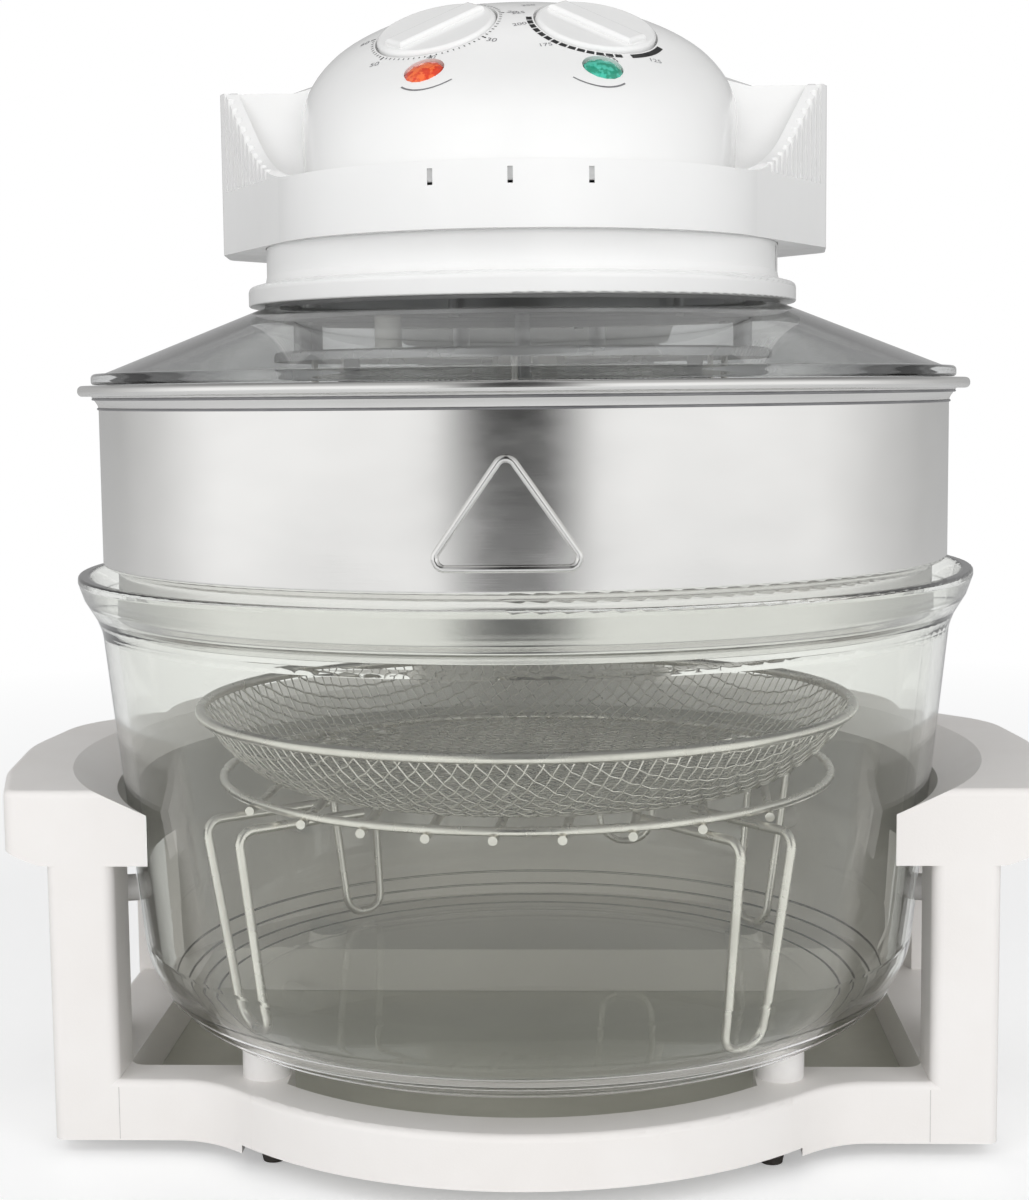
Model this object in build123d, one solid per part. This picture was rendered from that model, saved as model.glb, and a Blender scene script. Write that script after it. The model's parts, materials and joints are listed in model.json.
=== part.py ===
"""Countertop halogen oven with a hinged lid, built as separate pieces.

Millimetres, +Z up, front towards -Y.  Everything is drawn with the bowl axis on X = Y = 0 and the
table at Z = 0, and is moved along Y when written, so that the origin is the centre of the footprint.
"""
from build123d import *
from math import atan2, cos, pi, radians, sin, sqrt, tan
import os

# ---------------------------------------------------------------- driving dimensions
FIT = 0.3                   # gap between pieces that seat on each other
RUNNING = 0.08              # radial gap of a turning shaft

# glass bowl
BOWL_NECK_R = 161.5         # outside, just under the collar
BOWL_FLARE = 8.5            # flared rim beyond the neck
BOWL_TAPER = 14.5           # foot inside the neck
BOWL_DEPTH = 171.0          # rim to underside
BOWL_WALL = 4.5
BOWL_COLLAR_H = 21.0        # height of the flared collar
BOWL_CORNER_R = 36.0
BOWL_LIFT = 33.0            # underside above the table

# steel extender ring
RING_INSET = 5.0            # body inside the bowl's rim
RING_H = 70.0               # above the bowl rim
RING_OVERHANG = 7.5         # rolled rim beyond the body
RING_SKIRT_GAP = 2.0        # skirt inside the bowl's neck
RING_SHEET = 0.9
RING_SKIRT = 18.0           # depth inside the bowl
RING_COVE = 7.5             # height of the cove under the rolled rim

# lid glass and the clamp ring on it
LID_INSET = 5.0             # edge of the glass inside the steel rim
LID_GLASS = 4.0
LID_LIP = 4.5               # flat edge that rests on the steel rim
LID_RISE = 27.5
CLAMP_R = 104.0
CLAMP_H = 8.4
CLAMP_BEVEL = 1.4
HOLE_R = 84.0               # hole in the middle of the lid glass
SEAL_H = 1.0
SHIELD_SHEET = 1.2
SCREW_R = 1.8
SCREW_COUNT = 6
SEAM_ANGLE = -12.0          # moulding seam of the neck, from +X
VENT_STEP = 14.0            # angle between the air slots at the back of the neck

# neck and head
NECK_R = 97.0
NECK_WALL = 2.5
NECK_H = 13.4
HEAD_WALL = 3.0
BAND_H = 22.5               # side of the head from its underside to the deck
BAND_R = 94.0               # front arc of the head
BAND_FRONT = 103.3          # reach of the head in front of the bowl axis
WING_X = 117.5              # half width at the wing corner
WING_SPLAY = 3.0            # growth of the half width towards the rear
WING_FRONT_Y = 15.0
WING_REAR_Y = 46.0
WING_H = 61.5               # underside to the top of the wings
SCOOP_TOP_Y = 13.0          # upper edge of the concave finger grip in each wing
SCOOP_R = 34.0              # how far the grip reaches forward from there
GRIP_WALL = 4.5             # wall outside the grip
RAMP_FOOT_Y = -33.0         # that wall's top edge climbs from the deck here
RAMP_TOP_Y = 9.0            # to the wing's top here
RAMP_R = 100.0              # in a long hollow curve
RIB_COUNT = 11
RIB_PITCH = 4.9
RIB_R = 1.4                 # round grooves between the ribs
RIB_DEPTH = 0.7
HUMP_W = 98.0               # half width of the hump behind the dome
HUMP_H = 25.0               # hump above the wings
ARM_HALF_W = 62.0

SLOT_W = 1.8
SLOT_H = 5.5
SLOT_PITCH = 27.0

# domed control cover
DOME_HALF_W = 80.5
DOME_FRONT = 99.0
DOME_REAR = 66.0
DOME_H = 68.0
DOME_WALL = 2.6

# dials and lamps
DIAL_R = 22.0
DIAL_H = 4.5
DIAL_GRIP_H = 1.8
DIAL_GRIP_TURN = 58.0       # both grips point down and outward
DIAL_X = 29.0
DIAL_Y = -40.0
DIAL_TILT = 30.0            # forward lean of the dials
DIAL_SPLAY = 12.0           # sideways lean of the dials
DIAL_SINK = 5.2             # flat seat of a dial below the dome
SPINDLE_R = 3.0
LAMP_R = 7.0
LAMP_X = 31.0
LAMP_Y = -66.5
LAMP_TILT = 39.0
LAMP_SPLAY = 13.0
LAMP_STAND = 2.2            # lens above the dome

# hinge and the arm inside the head
ARM_W = 80.0
ARM_T = 10.0
ARM_FRONT_Y = 100.0
BUSH_R = 7.5
HINGE_BACK = 17.0           # pin behind the front of the column
HINGE_RISE = 94.0           # pin above the bowl rim
HINGE_R = 15.0
HINGE_PIN_R = 4.0
HINGE_HALF_W = 41.5         # half width of the arm's knuckle
EAR_T = 14.0

# stand
REAR_BACK = 17.0            # rear face behind the hinge pin
FOOT_H = 5.0
FOOT_R = 5.5
FOOT_X = 88.0
FOOT_FRONT_Y = -92.0
FOOT_REAR_Y = 160.0
NOTCH_H = 3.0               # the front bulge starts this much higher
COVER_HALF_W = 54.0
COVER_LOW_Z = 36.0
INLET_R = 7.0
INLET_Z = 60.0
INLET_STAND = 5.2           # cord inlet beyond the rear cover
VENT_HALF_W = 36.0
BUMPER_R = 5.0
BUMPER_Z = 86.0
REAR_BUMPER_Z = 78.0
BUMPER_ANGLE = 16.0
RAIL_H = 22.0
RAIL_D = 17.0
LEG_OUT = 6.5               # legs outside the bowl's neck
STAND_FRONT = 88.0
LEG_W = 24.0
LEG_D = 66.0
BULGE_R = 140.0
BULGE_X = 98.0
HANDLE_REACH = 29.5         # handles outside the legs
HANDLE_T = 15.0
HANDLE_DROP = 12.0          # extra depth of the handle beside the leg
BEAM_H = 42.0               # beam between leg and rear housing
HANDLE_BELOW_RIM = 72.0     # handle top below the bowl rim
COLLAR_GAP = 3.0            # round the bowl at handle level
CHAMFER = 16.0              # sloped edge of the handles round the bowl
HOUSING_FRONT_Y = 51.0
HOUSING_WALL = 3.2
RECESS_GAP = 5.5            # hollow of the rear housing, outside the bowl's neck
COLUMN_HALF_W = 62.0
COLUMN_GAP = 3.0            # between bowl rim and column
FLOOR_T = 3.0
PAD_R = 8.5
PAD_X = 92.0
PAD_Y = 80.0

# wire goods
RACK_LEG_SPACE = 15.5       # legs inside the bowl's wall
RACK_RING_INSET = 16.0      # ring inside the legs
RACK_WIRE_R = 1.6
WELD = 0.5                  # how far crossing wires sink into each other
RACK_DROP = 79.5            # rack ring below the bowl rim
RACK_BARS = 9
RACK_PITCH = 23.0
RACK_TURN = -3.5            # how the rack happens to stand in the bowl
RACK_LEG_ROOT = 34.0        # a leg's wires start this far inside the ring, welded under the bars
LOOP_BAR = 1                # lifting loop at the back, between this bar from the middle and the next
LOOP_DROP = 50.0
LOOP_WIRE_R = 1.4
RACK_LEG_WIRE_R = 1.7
RACK_LEG_W = 24.0           # between a leg's wires at the top
RACK_LEG_FOOT_W = 17.0      # and at the foot
RACK_LEG_ANGLE = 39.0
RACK_LEG_LEAN = 12.0        # feet inside the top of the legs
BASKET_OVERHANG = 10.3      # basket rim outside the rack's ring
BASKET_RIM_DROP = 53.3      # basket rim below the bowl rim
BASKET_RIM_WIRE_R = 2.0
BASKET_SHEET = 1.2
BASKET_FLOOR_INSET = 15.0   # flat floor inside the rack's ring
BASKET_BULGE = 11.0         # half-way up, the side is this far inside the rim

# heater, fan and motor
REFLECTOR_R = 95.0
REFLECTOR_BELOW_GLASS = 12.5
REFLECTOR_T = 0.8
TUBE_RING_R = 66.0
TUBE_R = 5.0
GUARD_R = 86.0
GUARD_BEND_R = 8.0          # spokes turn up to the reflector
GUARD_HUB_R = 13.0
GUARD_DROP = 1.0            # spokes run this much below the rings they are welded to
GUARD_H = 26.0
GUARD_WIRE_R = 1.2
GUARD_RINGS = 5
TUBE_DROP = 10.0            # halogen tube below the reflector
POST_R = 3.5
POST_RING_R = 84.0
POST_ANGLES = (-6, 70, 110, 170, 188)
SLEEVE_ANGLE = 238.0
SHAFT_R = 3.0
FAN_R = 42.0
FAN_BLADES = 8
COOL_FAN_R = 60.0
MOTOR_R = 28.0
MOTOR_H = 26.0
MOTOR_RISE = 20.0           # motor above the neck's foot

# ---------------------------------------------------------------- sizes and levels that follow
BOWL_RIM_R = BOWL_NECK_R + BOWL_FLARE
BOWL_FOOT_R = BOWL_NECK_R - BOWL_TAPER
RING_BODY_R = BOWL_RIM_R - BOWL_WALL - RING_INSET
RING_RIM_R = RING_BODY_R + RING_OVERHANG
LID_EDGE_R = RING_RIM_R - LID_INSET
COLUMN_FRONT_Y = BOWL_RIM_R + COLUMN_GAP
HINGE_Y = COLUMN_FRONT_Y + HINGE_BACK
REAR_Y = HINGE_Y + REAR_BACK
STAND_X = BOWL_NECK_R + LEG_OUT
HANDLE_X = STAND_X + HANDLE_REACH
RECESS_R = BOWL_NECK_R + RECESS_GAP
RIM_Z = BOWL_LIFT + BOWL_DEPTH
RING_TOP_Z = RIM_Z + RING_H
LID_EDGE_Z = RING_TOP_Z + FIT
LID_TOP_Z = LID_EDGE_Z + LID_RISE
CLAMP_Z = LID_TOP_Z + SEAL_H
NECK_Z = CLAMP_Z + CLAMP_H
HEAD_Z = NECK_Z + NECK_H
DECK_Z = HEAD_Z + BAND_H
WING_Z = HEAD_Z + WING_H
HINGE_Z = RIM_Z + HINGE_RISE
HANDLE_Z = RIM_Z - HANDLE_BELOW_RIM
RAIL_Z = FOOT_H + RAIL_H
RACK_Z = RIM_Z - RACK_DROP
MOTOR_Z = NECK_Z + MOTOR_RISE
BAR_Z = RACK_Z - 2 * RACK_WIRE_R + WELD
BASKET_RIM_Z = RIM_Z - BASKET_RIM_DROP
SHIELD_Z = LID_TOP_Z - LID_GLASS - SHIELD_SHEET
REFLECTOR_Z = LID_TOP_Z - LID_GLASS - REFLECTOR_BELOW_GLASS
BOWL_FLOOR_Z = BOWL_LIFT + BOWL_WALL
ORIGIN_Y = (REAR_Y + INLET_STAND - BOWL_RIM_R) / 2


def bowl_radius(z):
    """Outside radius of the bowl's tapered wall at a level."""
    top, foot = RIM_Z - BOWL_COLLAR_H, BOWL_LIFT + BOWL_CORNER_R
    return BOWL_FOOT_R + (BOWL_NECK_R - BOWL_FOOT_R) * (z - foot) / (top - foot)


RACK_LEG_TOP_R = bowl_radius(RACK_Z) - BOWL_WALL - RACK_LEG_SPACE
RACK_LEG_FOOT_R = RACK_LEG_TOP_R - RACK_LEG_LEAN
RACK_RING_R = RACK_LEG_TOP_R - RACK_RING_INSET
BASKET_R = RACK_RING_R + BASKET_OVERHANG
BASKET_FLOOR_R = RACK_RING_R - BASKET_FLOOR_INSET


# ---------------------------------------------------------------- small helpers
def rounded(corners, place):
    """Closed wire of straight runs and tangent arcs through (u, v[, fillet]) corners.

    A fillet is held to 0.45 of its shorter run, so that it follows when a size changes.
    """
    pts = [Vector(c[0], c[1]) for c in corners]
    pieces, ends = [], []
    for i, corner in enumerate(corners):
        here = pts[i]
        back, ahead = pts[i - 1] - here, pts[(i + 1) % len(pts)] - here
        fillet = corner[2] if len(corner) > 2 else 0
        half = radians(back.get_angle(ahead)) / 2
        if fillet <= 0 or abs(half - pi / 2) < 0.005:
            ends.append((here, None, here))
            continue
        reach = min(fillet / tan(half), 0.45 * back.length, 0.45 * ahead.length)
        bisector = (back.normalized() + ahead.normalized()).normalized()
        middle = here + bisector * (reach / cos(half) - reach * tan(half))
        ends.append((here + back.normalized() * reach, middle, here + ahead.normalized() * reach))
    for i, (enter, middle, leave) in enumerate(ends):
        previous = ends[i - 1][2]
        if (enter - previous).length > 1e-6:
            pieces.append(Line(place(previous.X, previous.Y), place(enter.X, enter.Y)))
        if middle is not None:
            pieces.append(ThreePointArc(*(place(p.X, p.Y) for p in (enter, middle, leave))))
    return pieces


def turned(*corners):
    """Solid of revolution about the bowl axis from (radius, height[, fillet]) corners."""
    return revolve(make_face(Curve() + rounded(corners, lambda u, v: (u, 0, v))), Axis.Z)


def plan(*corners):
    """Flat face on the table plane from (x, y[, fillet]) corners."""
    return make_face(Curve() + rounded(corners, lambda u, v: (u, v, 0)))


def mirrored_plan(*right_half):
    """Symmetric face from the corners of its right half, front to rear."""
    left_half = [(-c[0], *c[1:]) for c in reversed(right_half) if c[0] > 0]
    return plan(*right_half, *left_half)


def slab(face, low, high):
    """Upright prism of a plan face between two levels."""
    return Pos(0, 0, low) * extrude(face, high - low, dir=(0, 0, 1))


def side_prism(half_width, *corners):
    """Prism along X of a (y, z[, fillet]) outline, centred on X = 0."""
    face = make_face(Curve() + rounded(corners, lambda u, v: (-half_width, u, v)))
    return extrude(face, 2 * half_width, dir=(1, 0, 0))


def disc(radius, low, high, x=0.0, y=0.0):
    return Pos(x, y, (low + high) / 2) * Cylinder(radius, high - low)


def tube(outer, inner, low, high, x=0.0, y=0.0):
    return disc(outer, low, high, x, y) - disc(inner, low - 1, high + 1, x, y)


def block(x0, x1, y0, y1, z0, z1):
    return Pos((x0 + x1) / 2, (y0 + y1) / 2, (z0 + z1) / 2) * Box(x1 - x0, y1 - y0, z1 - z0)


def rod_x(radius, x0, x1, y, z):
    return Pos((x0 + x1) / 2, y, z) * Rot(0, 90, 0) * Cylinder(radius, abs(x1 - x0))


def torus(ring_r, wire_r, z):
    return Pos(0, 0, z) * Torus(ring_r, wire_r)


def wire_path(points, bends, wire_r):
    """Round wire along a filleted polyline."""
    path = FilletPolyline(*points, radius=bends) if len(points) > 2 else Line(*points)
    start = Plane(origin=path @ 0, z_dir=path % 0)
    return sweep(start * Circle(wire_r), path=path)


def both_sides(shape):
    return [shape, mirror(shape, Plane.YZ)]


def fused(shapes):
    shapes = list(shapes)
    return shapes[0].fuse(*shapes[1:]) if len(shapes) > 1 else shapes[0]


def around(shape, count, start=0.0):
    return [Rot(0, 0, start + 360 * i / count) * shape for i in range(count)]


NODES = {}


def node(name, *shapes):
    """Keep one named piece, or a group of separate solids under one name, about the row's origin."""
    solids = [Pos(0, -ORIGIN_Y, 0) * solid for shape in shapes for solid in shape.solids()]
    NODES[name] = solids[0] if len(solids) == 1 else Compound(solids)


# ---------------------------------------------------------------- bowl, ring and lid glass
def bowl_corner():
    """Centre (radius, level) and inner radius of the bowl's bottom corner."""
    (foot_r, foot_z, radius), (side_r, side_z, _) = bowl_outline(BOWL_WALL)[1:3]
    half = (pi / 2 + atan2(side_r - foot_r, side_z - foot_z)) / 2
    return foot_r - radius / tan(half), foot_z + radius, radius


def bowl_outline(inset):
    """Right half of the bowl's section, moved inward by the wall."""
    collar = BOWL_COLLAR_H
    return [
        (0, BOWL_LIFT + inset),
        (BOWL_FOOT_R - 1.2 - inset, BOWL_LIFT + inset, BOWL_CORNER_R - inset),
        (BOWL_NECK_R - inset, RIM_Z - collar, 12),
        (BOWL_NECK_R + 2 - inset, RIM_Z - 0.76 * collar, 3),
        (BOWL_RIM_R - 2.2 - inset, RIM_Z - 0.42 * collar, 3),
        (BOWL_RIM_R - inset, RIM_Z - 2.5, 2),
    ]


def make_bowl():
    outer = bowl_outline(0)
    inner = bowl_outline(BOWL_WALL)
    rim_inner = (BOWL_RIM_R - BOWL_WALL, RIM_Z, 1.5)
    node("glass_bowl", turned(*outer, (BOWL_RIM_R, RIM_Z, 1.5), rim_inner, *reversed(inner[:-1])))


def make_extender_ring():
    body, sheet = RING_BODY_R, RING_SHEET
    skirt_r = BOWL_NECK_R - BOWL_WALL - RING_SKIRT_GAP
    bead_z = RIM_Z - 0.66 * BOWL_COLLAR_H
    cove_z = RING_TOP_Z - RING_COVE
    outside = [
        (skirt_r, RIM_Z - RING_SKIRT, 0.4),
        (skirt_r, bead_z - 2.0, 0.8),
        (skirt_r + 2.6, bead_z, 0.8),
        (skirt_r, bead_z + 2.0, 0.8),
        (skirt_r, RIM_Z + 1.5, 1.5),
        (body, RIM_Z + 4.0, 1.5),
        (body, cove_z, 4.0),
        (RING_RIM_R - 4.5, cove_z + 4.2, 1.0),
    ]
    inside = [(r - sheet, z, max(f - 0.3, 0.4)) for r, z, f in outside[:-1]]
    shell = turned(*outside, (RING_RIM_R - 4.5 - sheet, cove_z + 5.0, 1.0), *reversed(inside))
    rim = turned(
        (RING_RIM_R - 6.5, cove_z + 3.6, 1.5), (RING_RIM_R, cove_z + 3.6, 1.8),
        (RING_RIM_R, RING_TOP_Z, 1.8), (RING_RIM_R - 6.5, RING_TOP_Z, 1.5))
    node("extender_ring", shell + rim)


def make_lid_glass():
    t = LID_GLASS
    flat_r = CLAMP_R - 4
    node("glass_lid", turned(
        (LID_EDGE_R, LID_EDGE_Z, 1.2), (LID_EDGE_R, LID_EDGE_Z + t, 1.6),
        (LID_EDGE_R - LID_LIP, LID_EDGE_Z + t, 3), (flat_r, LID_TOP_Z, 4), (HOLE_R, LID_TOP_Z),
        (HOLE_R, LID_TOP_Z - t), (flat_r - 1, LID_TOP_Z - t, 4), (LID_EDGE_R - LID_LIP - 1, LID_EDGE_Z, 3)))
    node("lid_seal", tube(CLAMP_R - 6, HOLE_R + 1, LID_TOP_Z, CLAMP_Z))


def make_clamp_and_neck():
    bevel = CLAMP_BEVEL
    flange_r = HOLE_R - 6
    screws = around(Pos(HOLE_R - 3, 0, 0) * disc(SCREW_R, SHIELD_Z - 1, NECK_Z + 3), SCREW_COUNT, 15)
    heads = around(Pos(HOLE_R - 3, 0, 0) * disc(SCREW_R * 2, NECK_Z + 3, NECK_Z + 5), SCREW_COUNT, 15)
    holes = around(Pos(HOLE_R - 3, 0, 0) * disc(SCREW_R + FIT, SHIELD_Z - 2, NECK_Z + 4), SCREW_COUNT, 15)
    ring = turned(
        (flange_r + 1, CLAMP_Z), (CLAMP_R, CLAMP_Z, 0.8), (CLAMP_R, NECK_Z - bevel, bevel * 1.6),
        (NECK_R + 1.5, NECK_Z, 0.6), (flange_r + 1, NECK_Z))
    node("clamp_ring", ring - holes)
    top = HEAD_Z + HEAD_WALL + 2
    inner_r = NECK_R - NECK_WALL
    shell = turned(
        (flange_r, NECK_Z), (NECK_R + 0.6, NECK_Z), (NECK_R, NECK_Z + 3, 0.5), (NECK_R, top),
        (inner_r, top), (inner_r, NECK_Z + 3), (flange_r, NECK_Z + 3))
    seam = Rot(0, 0, SEAM_ANGLE) * block(NECK_R - 1.0, NECK_R + 2, -0.6, 0.6, NECK_Z + 2, HEAD_Z - 2)
    vents = [Rot(0, 0, 90 + VENT_STEP * i) * block(inner_r - 3, NECK_R + 3, -4, 4, NECK_Z + 5, HEAD_Z - 4)
             for i in (-2, -1, 0, 1, 2)]
    node("neck", shell - seam - vents - holes)
    step_r = flange_r - 1
    sheet = SHIELD_SHEET
    shield = turned(
        (SHAFT_R + 2, LID_TOP_Z - sheet), (step_r - sheet, LID_TOP_Z - sheet), (step_r - sheet, SHIELD_Z),
        (HOLE_R + 7, SHIELD_Z), (HOLE_R + 7, SHIELD_Z + sheet), (step_r, SHIELD_Z + sheet),
        (step_r, LID_TOP_Z), (SHAFT_R + 2, LID_TOP_Z))
    node("heat_shield", shield - holes)
    node("clamp_screws", *[screw + head for screw, head in zip(screws, heads)])


# ---------------------------------------------------------------- head housing and dome
def wing_root():
    """Where the straight side of a wing leaves the front arc."""
    leave = radians(-24)
    return BAND_R * cos(leave), BAND_R - BAND_FRONT + BAND_R * sin(leave)


def head_plan(inset=0.0):
    """Plan of the head: front arc, two wings, and the arm that runs back to the hinge."""
    side = wing_root()
    corner = (WING_X, WING_FRONT_Y)
    rear = (WING_X + WING_SPLAY, WING_REAR_Y)
    arm_y = HINGE_Y - HINGE_R - 3
    front = ThreePointArc((-side[0], side[1]), (0, -BAND_FRONT), side)
    right = FilletPolyline(side, corner, rear, (104, 72), (ARM_HALF_W + 8, 124), (ARM_HALF_W, arm_y),
                           (-ARM_HALF_W, arm_y), (-ARM_HALF_W - 8, 124), (-104, 72),
                           (-rear[0], rear[1]), (-corner[0], corner[1]), (-side[0], side[1]),
                           radius=[7, 12, 30, 60, 5, 5, 60, 30, 12, 7])
    face = make_face(Curve() + [front, right])
    return offset(face, -inset) if inset else face


def head_side(inset=0.0, drop=0.0):
    """Side outline of the head as (y, z, fillet) corners."""
    i = inset
    return [
        (-BAND_FRONT - 5, HEAD_Z + i), (-BAND_FRONT - 5, WING_Z - i), (72, WING_Z - i, 60),
        (HINGE_Y - 32, HINGE_Z + 52 - i, 60), (HINGE_Y - 4, HINGE_Z + 19 - i, 8),
        (HINGE_Y - 4, HINGE_Z - 6 + i), (HINGE_Y - 18, HINGE_Z - 6 + i, 6), (112, HEAD_Z + i, 20),
    ]


def dome_levels(grow=0.0):
    """Horizontal ellipses of the dome: level above the deck, half width, front and rear reach."""
    shares = [
        (0.000, 0.990, 1.000, 1.000), (0.130, 0.996, 0.965, 1.000), (0.280, 1.006, 0.900, 0.990),
        (0.420, 1.004, 0.805, 0.960), (0.540, 0.975, 0.700, 0.900), (0.650, 0.915, 0.600, 0.810),
        (0.740, 0.835, 0.520, 0.710), (0.820, 0.725, 0.440, 0.590), (0.890, 0.590, 0.350, 0.450),
        (0.945, 0.440, 0.255, 0.310), (0.980, 0.280, 0.160, 0.180),
    ]
    return [(DECK_Z + DOME_H * h + grow * h * 1.1, DOME_HALF_W * w + grow,
             DOME_FRONT * f + grow, DOME_REAR * b + grow) for h, w, f, b in shares]


def dome_solid(grow=0.0, bottom=0.0):
    sections = []
    for z, half_w, front, rear in dome_levels(grow):
        sections.append(Pos(0, (rear - front) / 2, z) * Ellipse(half_w, (front + rear) / 2))
    body = loft(sections)
    if bottom:
        z, half_w, front, rear = dome_levels(grow)[0]
        foot = Pos(0, (rear - front) / 2, 0) * Ellipse(half_w, (front + rear) / 2)
        body = body + slab(foot, z - bottom, z)
    return body


def hump_section(y, half, edge_z, rise):
    """Crowned section of the hump, upright across the head."""
    arc = ThreePointArc((half, y, edge_z), (0, y, edge_z + rise), (-half, y, edge_z))
    sides = Polyline((-half, y, edge_z), (-half, y, edge_z - 20), (half, y, edge_z - 20), (half, y, edge_z))
    return make_face(Curve() + [arc, sides])


def hump_solid():
    """Hump that carries the dome's line back to the hinge."""
    edge = WING_Z - 3
    rear_y = HINGE_Y - 34
    rear_edge = HINGE_Z + 52 - 3
    middle = (edge + rear_edge) / 2 + 2
    return loft([
        hump_section(SCOOP_TOP_Y, HUMP_W, edge, 0.6 * HUMP_H), hump_section(52, HUMP_W, edge, HUMP_H),
        hump_section((72 + rear_y) / 2, (HUMP_W + ARM_HALF_W) / 2, middle, 0.6 * HUMP_H),
        hump_section(rear_y, ARM_HALF_W - 4, rear_edge, 0.16 * HUMP_H)])


def scoop(depth, half_width):
    """Cutter for the deck and the concave finger grips beside the dome."""
    x, top = -half_width, WING_Z + HUMP_H + 30
    low = DECK_Z - depth
    arc_y = SCOOP_TOP_Y - SCOOP_R
    front_y = -BAND_FRONT - 10
    start = (x, SCOOP_TOP_Y + depth, WING_Z)
    middle = (x, arc_y + (SCOOP_R + depth) * cos(pi / 4), WING_Z - (WING_Z - low) * sin(pi / 4))
    end = (x, arc_y, low)
    edges = Polyline(end, (x, front_y, low), (x, front_y, top), (x, start[1], top), start)
    return extrude(make_face(Curve() + [ThreePointArc(start, middle, end), edges]), 2 * half_width, dir=(1, 0, 0))


def rib_grooves():
    """Upright grooves in the slanted outside of each wing, from the deck up."""
    (root_x, root_y), length = wing_root(), 0
    run = Vector(root_x - WING_X, root_y - WING_FRONT_Y)
    run, outward = run.normalized(), Vector(-run.Y, run.X).normalized() * (RIB_R - RIB_DEPTH)
    grooves = []
    for i in range(RIB_COUNT):
        spot = Vector(WING_X, WING_FRONT_Y) + run * (7 + RIB_PITCH * i) - outward
        grooves += both_sides(disc(RIB_R, DECK_Z + 1.3, WING_Z + 20, spot.X, spot.Y))
    return grooves


def dome_height(x, y):
    """Level of the dome's surface over a point, from its ellipses."""
    previous = None
    for z, half_w, front, rear in dome_levels():
        span = (x / half_w) ** 2 + ((y - (rear - front) / 2) / ((rear + front) / 2)) ** 2
        if previous and previous[1] < 1 <= span:
            share = (1 - previous[1]) / (span - previous[1])
            return previous[0] + (z - previous[0]) * share
        previous = (z, span)
    return previous[0]


def leaning(x, y, tilt, splay):
    """Plane on the dome that leans forward and away from the middle."""
    side = 1 if x > 0 else -1
    normal = (side * tan(radians(splay)), -tan(radians(tilt)), 1)
    return Plane(origin=(x, y, dome_height(x, y)), x_dir=(1, 0, -side * tan(radians(splay))), z_dir=normal)


def dial_planes():
    return [leaning(side * DIAL_X, DIAL_Y, DIAL_TILT, DIAL_SPLAY) for side in (-1, 1)]


def lamp_planes():
    return [leaning(side * LAMP_X, LAMP_Y, LAMP_TILT, LAMP_SPLAY) for side in (-1, 1)]


def on(plane, radius, low, high):
    """Cylinder along a plane's normal."""
    return plane * Pos(0, 0, (low + high) / 2) * Cylinder(radius, high - low)


def make_head():
    wide = WING_X + 20
    body = slab(head_plan(), HINGE_Z - 30, WING_Z + 5) & side_prism(wide, *head_side())
    body = body + (hump_solid() & slab(head_plan(), HINGE_Z, WING_Z + 60))
    front = -BAND_FRONT - 20
    ramp = side_prism(wide, (front, DECK_Z), (RAMP_FOOT_Y, DECK_Z, RAMP_R), (RAMP_TOP_Y, WING_Z, 12),
                      (SCOOP_TOP_Y, WING_Z), (SCOOP_TOP_Y, WING_Z + 60), (front, WING_Z + 60))
    body = body - ramp - (scoop(0, wide) & slab(head_plan(GRIP_WALL), DECK_Z - 1, WING_Z + 60))
    body = body - rib_grooves() - dome_solid(FIT, 2)
    inner = slab(head_plan(HEAD_WALL), HINGE_Z - 30, WING_Z + 5) & side_prism(wide, *head_side(HEAD_WALL))
    body = body - (inner - scoop(HEAD_WALL, wide))
    body = body - disc(NECK_R + FIT, HEAD_Z - 5, HEAD_Z + HEAD_WALL + 3)
    body = body - dome_solid(-DOME_WALL - 2, 12)
    body = body - block(-ARM_W / 2 - FIT, ARM_W / 2 + FIT, HINGE_Y - 26, HINGE_Y,
                        HINGE_Z - ARM_T / 2 - FIT, HINGE_Z + ARM_T / 2 + 4)
    slots = [block(x - SLOT_W / 2, x + SLOT_W / 2, -BAND_FRONT - 5, -BAND_FRONT + 8,
                   DECK_Z - SLOT_H - 2.5, DECK_Z - 2.5) for x in (-SLOT_PITCH, 0, SLOT_PITCH)]
    node("head_housing", body - slots)


def make_dome():
    shell = dome_solid() - dome_solid(-DOME_WALL)
    solid = dome_solid()
    for plane in dial_planes():
        boss = on(plane, DIAL_R + 3, -DIAL_SINK - 3, 2) & solid
        shell = shell + boss - on(plane, DIAL_R + 0.8, -DIAL_SINK, 12) - on(plane, SPINDLE_R + 1, -20, 5)
    for plane in lamp_planes():
        shell = shell - on(plane, LAMP_R + FIT, -12, 12)
    node("control_dome", shell)


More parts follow.
